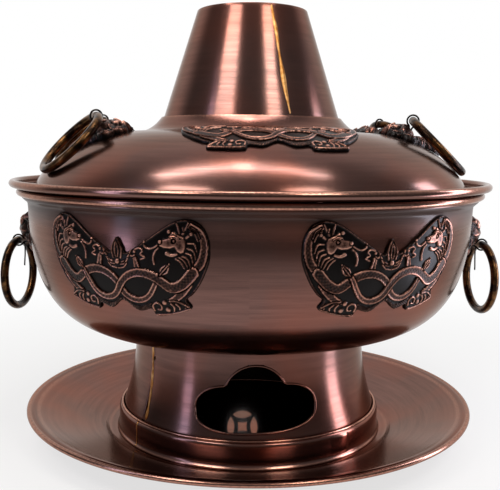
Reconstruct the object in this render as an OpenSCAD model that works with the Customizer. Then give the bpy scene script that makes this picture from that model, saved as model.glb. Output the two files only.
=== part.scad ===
// Chimney hot pot in copper sheet, standing in its drip tray.
// Millimetres, +Z up. The origin is the middle of the tray's underside.
// The front of the pot, with the ash opening, faces -Y.

/* [Drip tray] */
// Outer radius of the tray over its rolled edge
tray_r = 167; // [160:1:180]
// Height of the tray's border above the table
tray_h = 22.3; // [18:0.1:26]
// Gap from the foot's lower lip to the slope of the tray
foot_room = 3.8; // [2:0.1:9]
// Thickness of the tray's sheet
tray_t = 1.2; // [0.9:0.1:1.5]
// Radius of the tray's rolled edge
tray_roll_r = 1.7; // [1.5:0.1:2.2]
// Width of the rounded border inside the rolled edge
tray_border_w = 9; // [7:0.5:12]

/* [Foot] */
// Height from the foot's lower edge to the underside of the bowl
foot_h = 79.5; // [70:0.5:90]
// Outer radius of the foot under the bowl
foot_top_r = 86; // [82:0.5:90]
// How much wider the foot is at its band
foot_flare = 10; // [8:0.5:11]
// Thickness of the foot's sheet
foot_t = 1.2; // [0.9:0.1:1.5]
// Height of the band wrapped round the lower edge
band_h = 18.1; // [14:0.1:22]
// Thickness of the band's sheet
band_t = 1.2; // [0.9:0.1:1.5]
// Turn of the ash opening away from the front, to the right
vent_turn = 3.4; // [-10:0.2:10]
// Width of the cloud-shaped ash opening
vent_w = 81; // [70:1:90]
// Height of the ash opening's lower edge above the foot's lower edge
vent_sill = 23; // [22:0.5:26]
// Radius of the coin-shaped air hole in the back
coin_r = 15; // [10:0.5:15.5]

/* [Bowl] */
// Height from the bowl's underside to the top of its rim
bowl_h = 101.5; // [92:0.5:110]
// Outer radius of the bowl's wall under its rim
bowl_r = 162.5; // [156:0.5:168]
// Thickness of the bowl's sheet
bowl_t = 1.5; // [1.1:0.1:1.8]
// Radius of the bowl's rolled rim
rim_roll_r = 2.3; // [2:0.1:2.8]
// Distance from the wall out to the middle of the rolled rim
rim_out = 5.5; // [5:0.1:6]

/* [Fire tube and chimney] */
// Outer radius of the fire tube at the bowl's floor
tube_bottom_r = 79.85; // [76:0.05:81]
// Outer radius of the fire tube at its top
tube_top_r = 65; // [62:0.5:68]
// Thickness of the fire tube's sheet
tube_t = 1.2; // [0.9:0.1:1.5]
// Height of the chimney
chimney_h = 80.5; // [60:0.5:100]
// Outer radius of the chimney at its mouth
chimney_top_r = 40.6; // [36:0.2:46]
// Thickness of the chimney's sheet
chimney_t = 1; // [0.8:0.1:1.3]
// Thickness of the charcoal grate
grate_t = 4; // [3:0.5:6]
// Width of one bar of the grate
grate_bar = 5; // [4:0.5:7]

/* [Lid] */
// Outer radius of the lid over its rolled edge
lid_r = 175; // [173:0.5:180]
// Rise of the lid's dome above its flat brim
lid_rise = 39.4; // [34:0.2:46]
// Rise of the flared collar above the dome
collar_rise = 10.5; // [8:0.5:13]
// Thickness of the lid's sheet
lid_t = 1.2; // [0.9:0.1:1.5]
// Radius of the lid's rolled edge
lid_roll_r = 2.6; // [2.2:0.1:3]
// Turn of the lid on the pot, front edge to the right
lid_turn = 7.5; // [0:0.5:30]

/* [Ornament] */
// Width of one dragon plaque
plaque_w = 112; // [100:1:116]
// Thickness of a plaque's ground
plaque_t = 1.2; // [1:0.1:1.6]
// Height of the relief above the ground
relief_t = 1.4; // [1:0.1:2]
// Angle from the middle of the front to each of the bowl's plaques
plaque_angle = 29.3; // [28:0.1:45]
// Turn of the plaques round the bowl, front edge to the right
plaque_turn = 1.2; // [-5:0.1:5]
// Height of the lion heads' middle above the bowl's underside
lion_up = 65; // [60:0.5:70]
// Distance of the lid's lion heads inwards from the bowl's wall
lid_lion_in = 48.5; // [44:0.5:54]
// Distance of the lid's plaques inwards from the bowl's wall
lid_plaque_in = 57.5; // [54:0.5:60]
// Angle from the lid's front to the front pair of lion heads
lid_lion_angle = 70; // [55:1:75]

/* [Ring handles] */
// Radius of a ring, to the middle of its wire
ring_r = 25; // [20:0.5:27]
// Radius of a ring's wire
ring_wire_r = 3; // [2.5:0.1:3.2]
// Turn of the bowl's hanging rings, front edge outwards
ring_yaw = 8; // [0:1:12]
// Radius of the wire of the eyes
eye_wire_r = 0.65; // [0.6:0.05:0.8]
// How far a ring stands off the face of its lion head
eye_stand = 16; // [15.5:0.1:17]
// Length of the wire tail below each of the bowl's eyes
tail_h = 18; // [10:1:20]

/* [Fits] */
// Gap where a loose piece rests on another
rest_gap = 0.3; // [0.2:0.05:0.4]
// Gap where a piece is brazed or pinned on another
seat_gap = 0.15; // [0.1:0.05:0.2]
// Gap round the chimney inside the lid's collar
collar_gap = 0.6; // [0.4:0.1:1]
// Gap between a ring's wire and its eye
eye_gap = 0.5; // [0.4:0.1:0.8]

/* [Hidden] */
$fn = 96;

copper = [0.36, 0.21, 0.18];
copper_light = [0.55, 0.33, 0.27];
bronze = [0.42, 0.33, 0.22];
braze = [0.72, 0.47, 0.22];
iron = [0.13, 0.12, 0.12];

// ---- Heights, from the table up ----
foot_z = tray_t + rest_gap;
band_z = foot_z + band_h;
bowl_z = foot_z + foot_h;
rim_z = bowl_z + bowl_h;
brim_z = rim_z + rest_gap + lid_t;
dome_top_z = brim_z + lid_rise;
collar_z = dome_top_z + collar_rise;
chimney_tuck = 3.4;
tube_top_z = collar_z - chimney_tuck;
chimney_z = tube_top_z + rest_gap;
grate_z = bowl_z + 7;
lion_z = bowl_z + lion_up;

// ---- Lines of the sheet walls, as [radius, height] points ----
// A line moved sideways by d, to the right of its own direction
function shift(line, d) = [
    for (i = [0 : len(line) - 1])
        let (step = line[min(i + 1, len(line) - 1)] - line[max(i - 1, 0)])
        line[i] + d * [step.y, -step.x] / norm(step)
];
function backward(line) = [for (i = [len(line) - 1 : -1 : 0]) line[i]];

// Sheet of thickness t on the right of a line, or on its left if t is negative
module sheet(line, t) {
    polygon(concat(line, backward(shift(line, t))));
}

// Wall that lies between two distances outside a line
module layer(line, low, high) {
    rotate_extrude() polygon(concat(shift(line, low), backward(shift(line, high))));
}

// Wire-like rolled edge round the axis
module roll(centre, r) {
    rotate_extrude() translate(centre) circle(r, $fn = 24);
}

foot_line_n = 8;
function foot_r(z) = foot_top_r + foot_flare * pow((bowl_z - z) / (bowl_z - band_z), 2.3);
foot_line = [for (i = [0 : foot_line_n]) let (z = band_z + (bowl_z - seat_gap - band_z) * i / foot_line_n)
    [foot_r(z), z]];

bowl_wall_h = bowl_h - 10;
bowl_curve_h = bowl_h - 3.7;
bowl_swell = bowl_r - foot_top_r;
function bowl_at(a) = [foot_top_r + bowl_swell * pow(cos(a), 0.694),
    bowl_z + bowl_curve_h * (1 - pow(sin(a), 0.752))];
function bowl_wall_r(z) = foot_top_r + bowl_swell
    * pow(1 - pow(1 - (z - bowl_z) / bowl_curve_h, 2.66), 0.347);
bowl_top_a = asin(pow((bowl_curve_h - bowl_wall_h) / bowl_curve_h, 1 / 0.752));
bowl_line_n = 14;
bowl_line = [for (i = [0 : bowl_line_n]) bowl_at(90 - (90 - bowl_top_a) * i / bowl_line_n)];

collar_r = chimney_wall_r(collar_z) + collar_gap + lid_t;
flare_w = 17.5;
dome_r0 = collar_r + flare_w;
dome_w = bowl_r - 5.5 - dome_r0;
dome_h = lid_rise - 0.8;
function chimney_wall_r(z) = tube_top_r + chimney_t
    - (tube_top_r + chimney_t - chimney_top_r) * (z - chimney_z) / chimney_h;
function dome_z(rho) = brim_z + 0.8 + dome_h * pow(1 - pow((rho - dome_r0) / dome_w, 2.2), 0.77);
flare_line = [for (i = [0 : 5]) let (s = i / 6)
    [collar_r + flare_w * s, dome_top_z + collar_rise * pow(1 - s, 2.2)]];
dome_line = [for (a = [0 : 6 : 90])
    [dome_r0 + dome_w * pow(sin(a), 0.909), brim_z + 0.8 + dome_h * pow(cos(a), 1.54)]];
lid_line = concat(flare_line, dome_line);
lid_edge = [lid_r - lid_roll_r, brim_z + lid_roll_r - 0.3];
brim_line = [
    [dome_line[len(dome_line) - 1].x + 0.5, brim_z + 0.25],
    [dome_line[len(dome_line) - 1].x + 1.6, brim_z],
    [lid_edge.x - 3.4, brim_z],
    [lid_edge.x - 1.4, brim_z + 0.8],
    [lid_edge.x - 0.5, brim_z + 1.8]
];

tube_line = [[tube_bottom_r, bowl_z - 2], [tube_top_r, tube_top_z]];
function tube_wall_r(z) = tube_bottom_r
    + (tube_top_r - tube_bottom_r) * (z - tube_line[0].y) / (tube_top_z - tube_line[0].y);
chimney_line = [[chimney_wall_r(chimney_z), chimney_z], [chimney_top_r, chimney_z + chimney_h]];

// ---- Places round the pot ----
// Angles count from the front towards +X. Inside, x is to the right, y is up
// and z is outwards from the middle of the pot.
module facing(angle) {
    rotate([0, 0, angle]) rotate([90, 0, 0]) children();
}

lid_lion_rho = bowl_r - lid_lion_in;
lid_lion_z = dome_z(lid_lion_rho);
lid_tilt = atan(dome_z(lid_lion_rho - 0.5) - dome_z(lid_lion_rho + 0.5));
lid_eye_stand = eye_stand - 2;
eye_down = 5.5;
lid_eye_down = 0.5;

// Where the lid's eyes are, and how steeply a ring leans when it lies on the dome
lid_eye = [
    lid_lion_rho + lid_eye_stand * sin(lid_tilt) + lid_eye_down * cos(lid_tilt),
    lid_lion_z + lid_eye_stand * cos(lid_tilt) - lid_eye_down * sin(lid_tilt)
];
function gap_to(p, line) = min([for (i = [0 : len(line) - 2])
    let (side = line[i + 1] - line[i], t = max(0, min(1, (p - line[i]) * side / (side * side))))
    norm(p - line[i] - t * side)]);
function lean_gap(lean) = let (p = lid_eye + 2 * ring_r * [cos(lean), -sin(lean)])
    min(gap_to(p, concat(lid_line, brim_line)), norm(p - lid_edge) - lid_roll_r) - ring_wire_r;
function lean_until(low, high, n) = n == 0 ? low : let (mid = (low + high) / 2)
    lean_gap(mid) > rest_gap ? lean_until(mid, high, n - 1) : lean_until(low, mid, n - 1);
lid_ring_rest = lean_until(20, 60, 24);

module on_lid(angle) {
    facing(angle) translate([0, lid_lion_z, lid_lion_rho]) rotate([lid_tilt - 90, 0, 0]) children();
}
module on_bowl(angle) {
    facing(angle) translate([0, lion_z, bowl_wall_r(lion_z)]) children();
}

// ---- Drip tray ----
band_r = foot_top_r + foot_flare + 3.5;
band_lip = 1.7;
tray_well_r = band_r + band_lip + foot_room;
tray_edge = [tray_r - tray_roll_r, tray_h - 1.4];
tray_line = [
    [0, tray_t],
    [tray_well_r - 2, tray_t],
    [tray_well_r, tray_t],
    [tray_well_r + 2, tray_t + 0.6],
    [tray_well_r + 4.5, tray_t + 3.2],
    [tray_r - tray_border_w - 1, tray_h - 1.8],
    [tray_r - tray_border_w + 1, tray_h - 0.9],
    [tray_r - tray_border_w + 4, tray_h],
    [tray_edge.x - 1, tray_edge.y + 1]
];
module drip_tray() {
    color(copper) union() {
        rotate_extrude() sheet(tray_line, tray_t);
        roll(tray_edge, tray_roll_r);
    }
}

// ---- Foot ----
vent_half = vent_w / 2;
vent_z = foot_z + vent_sill;
vent_lower_h = 14.7;
vent_upper_h = 14.8;
vent_dome_r = 20.8;
vent_notch = 20.3;
vent_lean = 2;
vent_hem = 1.1;

// Half of the cloud below its top lobe, from the sill round to the notch
function cloud_half(grow) = concat(
    [for (a = [0 : 9 : 90]) [(vent_half + grow) * pow(sin(a), 2 / 3),
        -(vent_lower_h + grow) * pow(cos(a), 2 / 3)]],
    [for (a = [9 : 9 : 90]) [vent_notch + (vent_half - vent_notch + grow) * cos(a),
        (vent_upper_h + grow) * sin(a)]]
);
module cloud(grow) {
    half = cloud_half(grow);
    polygon(concat(half, [for (p = backward(half)) [-p.x, p.y]]));
    translate([0, 7.6]) circle(vent_dome_r + grow);
}
module vent_cut(grow) {
    facing(vent_turn) translate([0, vent_z + vent_lower_h, foot_top_r / 2])
        rotate([0, 0, vent_lean]) linear_extrude(foot_top_r) cloud(grow);
}

// Coin: four petals round a square with hollow sides, cut through the back of the foot
coin_z = foot_z + 40;
coin_web = 2.2;
module coin_holes() {
    petal_r = coin_r - coin_web / 2;
    for (a = [0 : 90 : 270]) rotate(a) {
        intersection() {
            circle(petal_r, $fn = 48);
            translate([coin_r * sqrt(2), 0]) circle(petal_r, $fn = 48);
        }
    }
    difference() {
        square(coin_r * 0.68, center = true);
        for (a = [0 : 90 : 270]) rotate(a) translate([coin_r * 1.15, 0]) circle(coin_r * 0.9, $fn = 48);
    }
}

module pedestal() {
    skirt_z = foot_z + 2;
    wall = concat([[foot_line[0].x, skirt_z]], foot_line);
    color(copper) difference() {
        union() {
            rotate_extrude() sheet(wall, -foot_t);
            intersection() {
                layer(foot_line, -foot_t - 0.5, 0.7);
                vent_cut(vent_hem);
            }
        }
        vent_cut(0);
        facing(vent_turn + 180) translate([0, coin_z, foot_top_r / 2])
            linear_extrude(foot_top_r) coin_holes();
    }
}

bead_r = 1;
lap_angle = 43.6;
lap_t = 0.8;
band_line = [
    [band_r + band_lip, foot_z],
    [band_r + band_lip, foot_z + 0.8],
    [band_r + 0.4, foot_z + 2.2],
    [band_r, foot_z + 3.6],
    [band_r, band_z - 3],
    [band_r - 0.6, band_z - 1.3],
    [band_r - 2, band_z - 0.2]
];
// The outer end of the wrapped band, eased down to nothing away from its edge
module band_lap() {
    function at(r, angle) = [r * sin(angle), -r * cos(angle)];
    intersection() {
        rotate_extrude() translate([band_r - band_t / 2, band_line[3].y])
            square([lap_t + band_t / 2, band_line[4].y - band_line[3].y]);
        linear_extrude(band_z) polygon([[0, 0], at(band_r - 0.2, lap_angle - 9),
            at(band_r + lap_t, lap_angle - 3), at(band_r + 3, lap_angle)]);
    }
}
module foot_band() {
    color(copper) union() {
        rotate_extrude() sheet(band_line, -band_t);
        roll([foot_line[0].x + seat_gap + bead_r, band_z], bead_r);
        band_lap();
    }
}

// A flat brazed strip that follows a wall; its two ends sit apart by lean
seam_w = 2.2;
seam_t = 0.4;
module seam(line, angle, lean, low, high) {
    intersection() {
        layer(line, seat_gap, seat_gap + seam_t);
        facing(angle) translate([0, 0, chimney_top_r / 2]) linear_extrude(bowl_r)
            polygon([[lean - seam_w / 2, low], [lean + seam_w / 2, low],
                [seam_w / 2 - lean, high], [-seam_w / 2 - lean, high]]);
    }
}
module pedestal_seam() {
    color(braze) seam(foot_line, -50.5, 2.4, band_z + 1.6, bowl_z - 1);
}

// ---- Bowl ----
rim_line = [
    [bowl_r + 0.16 * rim_out, rim_z - 8.8],
    [bowl_r + 0.53 * rim_out, rim_z - 7.2],
    [bowl_r + 0.75 * rim_out, rim_z - 6],
    [bowl_r + 0.77 * rim_out, rim_z - 4.4],
    [bowl_r + 0.91 * rim_out, rim_z - 2.6]
];
shank_r = 2 * eye_wire_r;
eye_r = ring_wire_r + eye_gap + eye_wire_r;
eye_z = lion_z - eye_down;
module bowl() {
    wall = concat([[tube_bottom_r + seat_gap, bowl_z]], bowl_line, rim_line);
    color(copper) difference() {
        union() {
            rotate_extrude() sheet(wall, -bowl_t);
            roll([bowl_r + rim_out, rim_z - rim_roll_r], rim_roll_r);
        }
        for (side = [-90, 90]) facing(side) translate([0, eye_z, foot_top_r])
            cylinder(h = bowl_r, r = shank_r + seat_gap, $fn = 32);
    }
}

module fire_tube() {
    color(copper) rotate_extrude() sheet(tube_line, -tube_t);
}

module tube_braze() {
    low = bowl_z + bowl_t + seat_gap;
    fillet = 4;
    color(braze) rotate_extrude() polygon([
        [tube_wall_r(low) + seat_gap, low],
        [tube_wall_r(low) + seat_gap + fillet, low],
        [tube_wall_r(low + fillet) + seat_gap, low + fillet]
    ]);
}

grate_r = tube_wall_r(grate_z + grate_t) - tube_t - rest_gap;
grate_gap = 8;
module charcoal_grate() {
    rim_w = 6;
    step = grate_bar + grate_gap;
    count = floor((grate_r - rim_w) / step);
    color(iron) translate([0, 0, grate_z]) linear_extrude(grate_t) {
        difference() {
            circle(grate_r);
            circle(grate_r - rim_w);
        }
        intersection() {
            circle(grate_r - rim_w / 2);
            for (i = [-count : count]) translate([i * step - grate_bar / 2, -grate_r])
                square([grate_bar, 2 * grate_r]);
        }
    }
}
module grate_lugs() {
    lug_h = 4;
    lug_reach = 8;
    top = grate_z - seat_gap;
    inside = tube_t + seat_gap;
    color(iron) for (a = [45 : 90 : 315]) intersection() {
        rotate([0, 0, a]) translate([grate_r - lug_reach, -lug_reach / 2, top - lug_h])
            cube([2 * lug_reach, lug_reach, lug_h]);
        rotate_extrude() polygon([[0, bowl_z], [tube_wall_r(bowl_z) - inside, bowl_z],
            [tube_wall_r(rim_z) - inside, rim_z], [0, rim_z]]);
    }
}

module chimney() {
    color(copper) rotate_extrude() sheet(chimney_line, -chimney_t);
}
module chimney_seam() {
    color(braze) seam(chimney_line, 21.5, 2.4, collar_z + 1, chimney_z + chimney_h - 0.5);
}

// ---- Dragon plaques ----
// A closed or open smooth curve through points, with n steps from one to the next
function bend(a, b, c, d, t) = (2 * b + t * (c - a) + t * t * (2 * a - 5 * b + 4 * c - d)
    + t * t * t * (3 * b - a - 3 * c + d)) / 2;
function closed_curve(p, n) = let (m = len(p)) [
    for (i = [0 : m - 1], j = [0 : n - 1])
        bend(p[(i + m - 1) % m], p[i], p[(i + 1) % m], p[(i + 2) % m], j / n)
];
function open_curve(p, n) = let (m = len(p)) [
    for (i = [0 : m - 2], j = [0 : (i == m - 2 ? n : n - 1)])
        bend(p[max(i - 1, 0)], p[i], p[i + 1], p[min(i + 2, m - 1)], j / n)
];
function mirrored(p) = [for (q = p) [-q.x, q.y]];

// Half of the plaque's outline, from the bud's tip round the right wing
wing = [
    [3.5, 12], [6.5, 9], [19, 16.5], [34, 26.5], [43.5, 29.3], [51.5, 26.5],
    [55.5, 19], [56, 11], [55, 4], [50.5, -6], [45.5, -13], [41, -17], [43, -22],
    [36, -25], [27, -27.5], [20.5, -28], [18, -24], [9.5, -26]
];
plaque_scale = plaque_w / 112;
module plaque_outline() {
    polygon(closed_curve(concat([[0, 17.5]], wing, [[0, -20]], backward(mirrored(wing))), 2));
}
// A raised band along a curve, from one width to another
module band_along(points, w0, w1) {
    line = open_curve(points, 3);
    last = len(line) - 1;
    function side(s) = [for (i = [0 : last])
        let (step = line[min(i + 1, last)] - line[max(i - 1, 0)], w = w0 + (w1 - w0) * i / last)
        line[i] + s * w / 2 * [step.y, -step.x] / norm(step)];
    polygon(concat(side(1), backward(side(-1))));
}
// The relief of one half: body, neck, head, whisker, leg and feet of a dragon
module dragon() {
    band_along([[9, -22], [22, -23], [33, -16], [41, -6], [45, 6], [42, 15]], 2.5, 6);
    band_along([[-3, -4.5], [9, 0], [18, -6], [27, -9], [33, -3], [36, 6], [38, 14]], 2.5, 5);
    band_along([[47, 20], [39, 19], [32, 16.5], [25, 17]], 8, 4);
    band_along([[42, 19], [41, 26]], 2.5, 1.2);
    band_along([[31, 12], [26, 7], [21, 10], [18, 15]], 2, 1.2);
    band_along([[18, -14], [25, -6], [28, 2], [32, 5]], 3, 1.6);
    band_along([[23, -25.5], [31, -23], [40, -21]], 3, 2);
    band_along([[1, -10], [6, -15], [13, -16.5], [19, -14]], 2, 3);
}
module bud() {
    band_along([[-1, -2.5], [5, 4], [3.5, 10], [-0.5, 15]], 3, 2);
    band_along([[1, -2.5], [-5, 4], [-3.5, 10], [0.5, 15]], 3, 2);
    band_along([[0, -3], [0, 13]], 2.5, 1.5);
}
module plaque_relief() {
    difference() {
        plaque_outline();
        scale(0.94) plaque_outline();
    }
    intersection() {
        plaque_outline();
        union() {
            dragon();
            mirror([1, 0]) dragon();
            bud();
        }
    }
}

plaque_z = bowl_z + 62;
ground_top = seat_gap + plaque_t;
relief_bite = 0.4;
plaque_reach = 50;
module bowl_plaque(angle) {
    color(copper_light) union() {
        intersection() {
            layer(bowl_line, seat_gap, ground_top);
            plaque_prism(angle) plaque_outline();
        }
        intersection() {
            layer(bowl_line, ground_top - relief_bite, ground_top + relief_t);
            plaque_prism(angle) plaque_relief();
        }
    }
}
module plaque_prism(angle) {
    facing(angle) translate([0, plaque_z, bowl_r - plaque_reach]) linear_extrude(2 * plaque_reach)
        scale(plaque_scale) children();
}

lid_plaque_rho = bowl_r - lid_plaque_in;
lid_plaque_tilt = atan(dome_z(lid_plaque_rho - 0.5) - dome_z(lid_plaque_rho + 0.5));
module lid_plaque(angle) {
    color(copper_light) union() {
        intersection() {
            layer(lid_line, -ground_top, -seat_gap);
            lid_plaque_prism(angle) plaque_outline();
        }
        intersection() {
            layer(lid_line, -ground_top - relief_t, relief_bite - ground_top);
            lid_plaque_prism(angle) plaque_relief();
        }
    }
}
module lid_plaque_prism(angle) {
    facing(angle) translate([0, dome_z(lid_plaque_rho), lid_plaque_rho])
        rotate([lid_plaque_tilt - 90, 0, 0]) translate([0, 0, -plaque_reach / 2])
        linear_extrude(plaque_reach) scale(plaque_scale) children();
}

// ---- Lion heads with their wire eyes ----
mane_t = 4.2;
mane_lock_r = 6;
// A head's ground: a disc with seven locks of mane and a beard, h thick
module mane(h) {
    cylinder(h = h, r = 17);
    for (a = [-10 : 40 : 190]) rotate(a) translate([15, 0]) cylinder(h = h, r = mane_lock_r, $fn = 32);
    linear_extrude(h) polygon([[-15, -4], [15, -4], [4, -23], [0, -26], [-4, -23]]);
}
module ball(x, y, z, r) {
    translate([x, y, z]) rotate([0, 90, 0]) sphere(r, $fn = 48);
}
// Brow, nose, jaw, eyes, cheeks and ears; a flatter face drops by drop
module lion_face(drop) {
    ball(0, 5, 1 - drop, 13);
    ball(0, 3.5, 11.5 - drop, 3.2);
    ball(0, -9, 1.5 - drop / 2, 6);
    for (side = [-1, 1]) {
        ball(6 * side, 9.5, 9 - drop, 3.5);
        ball(9 * side, -1, 2 - drop, 5);
        ball(11 * side, 14, 3 - drop / 2, 4.5);
    }
}
module pin_hole(down) {
    translate([0, -down, -mane_t * 3]) cylinder(h = mane_t * 8, r = shank_r + seat_gap, $fn = 32);
}
// A split pin: a wire eye, its double shank and two legs bent apart inside the wall
module split_eye(stand, inside) {
    rotate([0, 90, 0]) rotate_extrude() translate([eye_r, 0]) circle(eye_wire_r, $fn = 24);
    leg_z = -stand - inside - eye_wire_r;
    translate([0, 0, leg_z]) cylinder(h = -leg_z - eye_r + eye_wire_r / 2, r = shank_r, $fn = 32);
    translate([-leg_reach, 0, leg_z]) rotate([0, 90, 0])
        cylinder(h = 2 * leg_reach, r = eye_wire_r, $fn = 24);
}
leg_reach = 8;
leg_gap = 0.5;

module bowl_lion(angle) {
    inner = shift(bowl_line, seat_gap + mane_t / 2);
    color(copper_light) difference() {
        union() {
            intersection() {
                layer(bowl_line, seat_gap, seat_gap + mane_t);
                on_bowl(angle) translate([0, 0, -plaque_reach / 2]) mane(plaque_reach);
            }
            difference() {
                on_bowl(angle) lion_face(0);
                rotate_extrude() polygon(concat([[0, inner[0].y]], inner, [[0, inner[bowl_line_n].y]]));
            }
        }
        on_bowl(angle) pin_hole(eye_down);
    }
}
// The wall's slope lets the inner side lie further in than the sheet is thick
function bowl_eye_inside() = bowl_wall_r(lion_z) - bowl_wall_r(eye_z) + bowl_t * 1.15 + leg_gap;
module bowl_eye(angle) {
    tail_z = -eye_r - eye_wire_r / 2;
    color(iron) on_bowl(angle) translate([0, -eye_down, eye_stand]) union() {
        split_eye(eye_stand, bowl_eye_inside());
        translate([0, -tail_h, tail_z]) rotate([-90, 0, 0])
            cylinder(h = tail_h, r = eye_wire_r * 0.85, $fn = 24);
    }
}

lid_face_drop = 4.5;
module lid_lion(angle) {
    outer = backward(shift(lid_line, -seat_gap - mane_t / 2));
    color(copper_light) difference() {
        union() {
            intersection() {
                layer(lid_line, -seat_gap - mane_t, -seat_gap);
                on_lid(angle) translate([0, 0, -plaque_reach / 4]) mane(plaque_reach / 2);
            }
            difference() {
                on_lid(angle) lion_face(lid_face_drop);
                rotate_extrude() polygon(concat([[0, brim_z - 20], [outer[0].x, brim_z - 20]], outer,
                    [[0, outer[len(outer) - 1].y]]));
            }
        }
        on_lid(angle) pin_hole(lid_eye_down);
    }
}
module lid_eye(angle) {
    color(iron) on_lid(angle) translate([0, -lid_eye_down, lid_eye_stand])
        split_eye(lid_eye_stand, lid_t + leg_gap + 0.3);
}

// ---- Rings ----
module ring() {
    translate([0, -ring_r, 0]) rotate_extrude() translate([ring_r, 0]) circle(ring_wire_r, $fn = 32);
}
module bowl_ring(angle, yaw) {
    color(bronze) on_bowl(angle) translate([0, -eye_down, eye_stand]) rotate([0, yaw, 0]) ring();
}
module lid_ring(angle) {
    color(bronze) on_lid(angle) translate([0, -lid_eye_down, lid_eye_stand])
        rotate([lid_ring_rest - lid_tilt, 0, 0]) ring();
}

// ---- Lid ----
module lid_shell() {
    color(copper) difference() {
        union() {
            rotate_extrude() sheet(concat(lid_line, brim_line), lid_t);
            roll(lid_edge, lid_roll_r);
        }
        for (a = lid_angles) on_lid(a) pin_hole(lid_eye_down);
    }
}

front_left = lid_turn - lid_lion_angle;
front_right = lid_turn + lid_lion_angle;
rear_left = front_right + 180;
rear_right = front_left + 180;
lid_angles = [front_left, front_right, rear_left, rear_right];

drip_tray();
pedestal();
foot_band();
pedestal_seam();
bowl();
fire_tube();
tube_braze();
charcoal_grate();
grate_lugs();
chimney();
chimney_seam();
bowl_plaque(plaque_turn - plaque_angle);  // bowl_plaque_front_left
bowl_plaque(plaque_turn + plaque_angle);  // bowl_plaque_front_right
bowl_plaque(plaque_turn + plaque_angle + 180);  // bowl_plaque_rear_left
bowl_plaque(plaque_turn - plaque_angle + 180);  // bowl_plaque_rear_right
bowl_lion(-90);  // bowl_lion_left
bowl_lion(90);  // bowl_lion_right
bowl_eye(-90);  // bowl_eye_left
bowl_eye(90);  // bowl_eye_right
bowl_ring(-90, -ring_yaw);  // bowl_ring_left
bowl_ring(90, ring_yaw);  // bowl_ring_right
lid_shell();
lid_plaque(lid_turn);  // lid_plaque_front
lid_plaque(lid_turn + 180);  // lid_plaque_rear
lid_lion(front_left);  // lid_lion_front_left
lid_lion(front_right);  // lid_lion_front_right
lid_lion(rear_left);  // lid_lion_rear_left
lid_lion(rear_right);  // lid_lion_rear_right
lid_eye(front_left);  // lid_eye_front_left
lid_eye(front_right);  // lid_eye_front_right
lid_eye(rear_left);  // lid_eye_rear_left
lid_eye(rear_right);  // lid_eye_rear_right
lid_ring(front_left);  // lid_ring_front_left
lid_ring(front_right);  // lid_ring_front_right
lid_ring(rear_left);  // lid_ring_rear_left
lid_ring(rear_right);  // lid_ring_rear_right
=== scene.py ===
import math

import bmesh
import bpy
import numpy as np
from mathutils import Matrix, Vector


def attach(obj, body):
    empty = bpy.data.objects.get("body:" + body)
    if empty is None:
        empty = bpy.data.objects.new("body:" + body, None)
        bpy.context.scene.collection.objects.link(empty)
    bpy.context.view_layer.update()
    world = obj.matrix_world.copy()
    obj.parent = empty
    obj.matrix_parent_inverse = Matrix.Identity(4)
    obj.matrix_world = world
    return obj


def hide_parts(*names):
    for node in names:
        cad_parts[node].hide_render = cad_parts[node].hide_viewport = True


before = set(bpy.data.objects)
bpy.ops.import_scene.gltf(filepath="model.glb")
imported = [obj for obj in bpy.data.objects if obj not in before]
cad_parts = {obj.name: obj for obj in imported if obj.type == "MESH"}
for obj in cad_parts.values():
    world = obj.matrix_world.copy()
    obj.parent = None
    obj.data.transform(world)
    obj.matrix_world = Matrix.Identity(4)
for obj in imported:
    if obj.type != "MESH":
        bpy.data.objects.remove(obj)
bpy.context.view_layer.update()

mm = 0.001
scene = bpy.context.scene


# Small tools

def linear(hexColour):
    # sRGB to linear light: a short straight part near black, then a power of 2.4
    c = np.array([int(hexColour[i:i + 2], 16) for i in (1, 3, 5)]) / 255
    c = np.where(c <= 0.04045, c / 12.92, ((c + 0.055) / 1.055) ** 2.4)
    return (*c.tolist(), 1.0)


def addNode(tree, kind, inputs=None, **settings):
    node = tree.nodes.new("ShaderNode" + kind)
    for key, value in settings.items():
        setattr(node, key, value)
    for socket, source in (inputs or {}).items():
        if isinstance(source, bpy.types.NodeSocket):
            tree.links.new(source, node.inputs[socket])
        else:
            node.inputs[socket].default_value = source
    return node


def joined(kind, inputs, **settings):
    # Adds a node to the tree that its linked inputs come from, and returns its outputs
    linked = [source for source in inputs.values() if isinstance(source, bpy.types.NodeSocket)]
    return addNode(linked[0].id_data, kind, inputs, **settings).outputs


def remap(value, low, high, toLow=0.0, toHigh=1.0, **settings):
    # Carries a value from one range to another and holds it at the ends
    return joined("MapRange", {"Value": value, "From Min": low, "From Max": high, "To Min": toLow,
                               "To Max": toHigh}, **settings)[0]


def mixValue(share, a, b):
    return joined("Mix", {0: share, 2: a, 3: b})[0]


def mixColour(share, a, b):
    # Either colour may be a hex code
    a, b = (linear(colour) if isinstance(colour, str) else colour for colour in (a, b))
    return joined("Mix", {0: share, 6: a, 7: b}, data_type="RGBA")[2]


def mixShader(share, a, b):
    return joined("MixShader", {0: share, 1: a, 2: b})[0]


def maths(operation, a, b):
    return joined("Math", {0: a, 1: b}, operation=operation)[0]


def distanceOf(place):
    return joined("VectorMath", {0: place}, operation="LENGTH")["Value"]


def noise(place, size, detail=2.0, roughness=0.5):
    # Clouds whose lumps are about one size across
    return joined("TexNoise", {"Vector": place, "Scale": 1 / size, "Detail": detail, "Roughness": roughness})["Fac"]


def bump(height, depth, **inputs):
    return joined("Bump", {"Height": height, "Strength": 1.0, "Distance": depth, **inputs})[0]


def painted(tree, name):
    # What addPiece wrote onto the mesh under this name
    return addNode(tree, "Attribute", attribute_name=name).outputs["Fac"]


def newMaterial(name):
    material = bpy.data.materials.new(name)
    material.use_nodes = True
    tree = material.node_tree
    tree.nodes.clear()
    return material, tree, addNode(tree, "TexCoord").outputs["Object"]


def surfaced(inputs):
    joined("OutputMaterial", {"Surface": joined("BsdfPrincipled", inputs)[0]})


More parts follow.
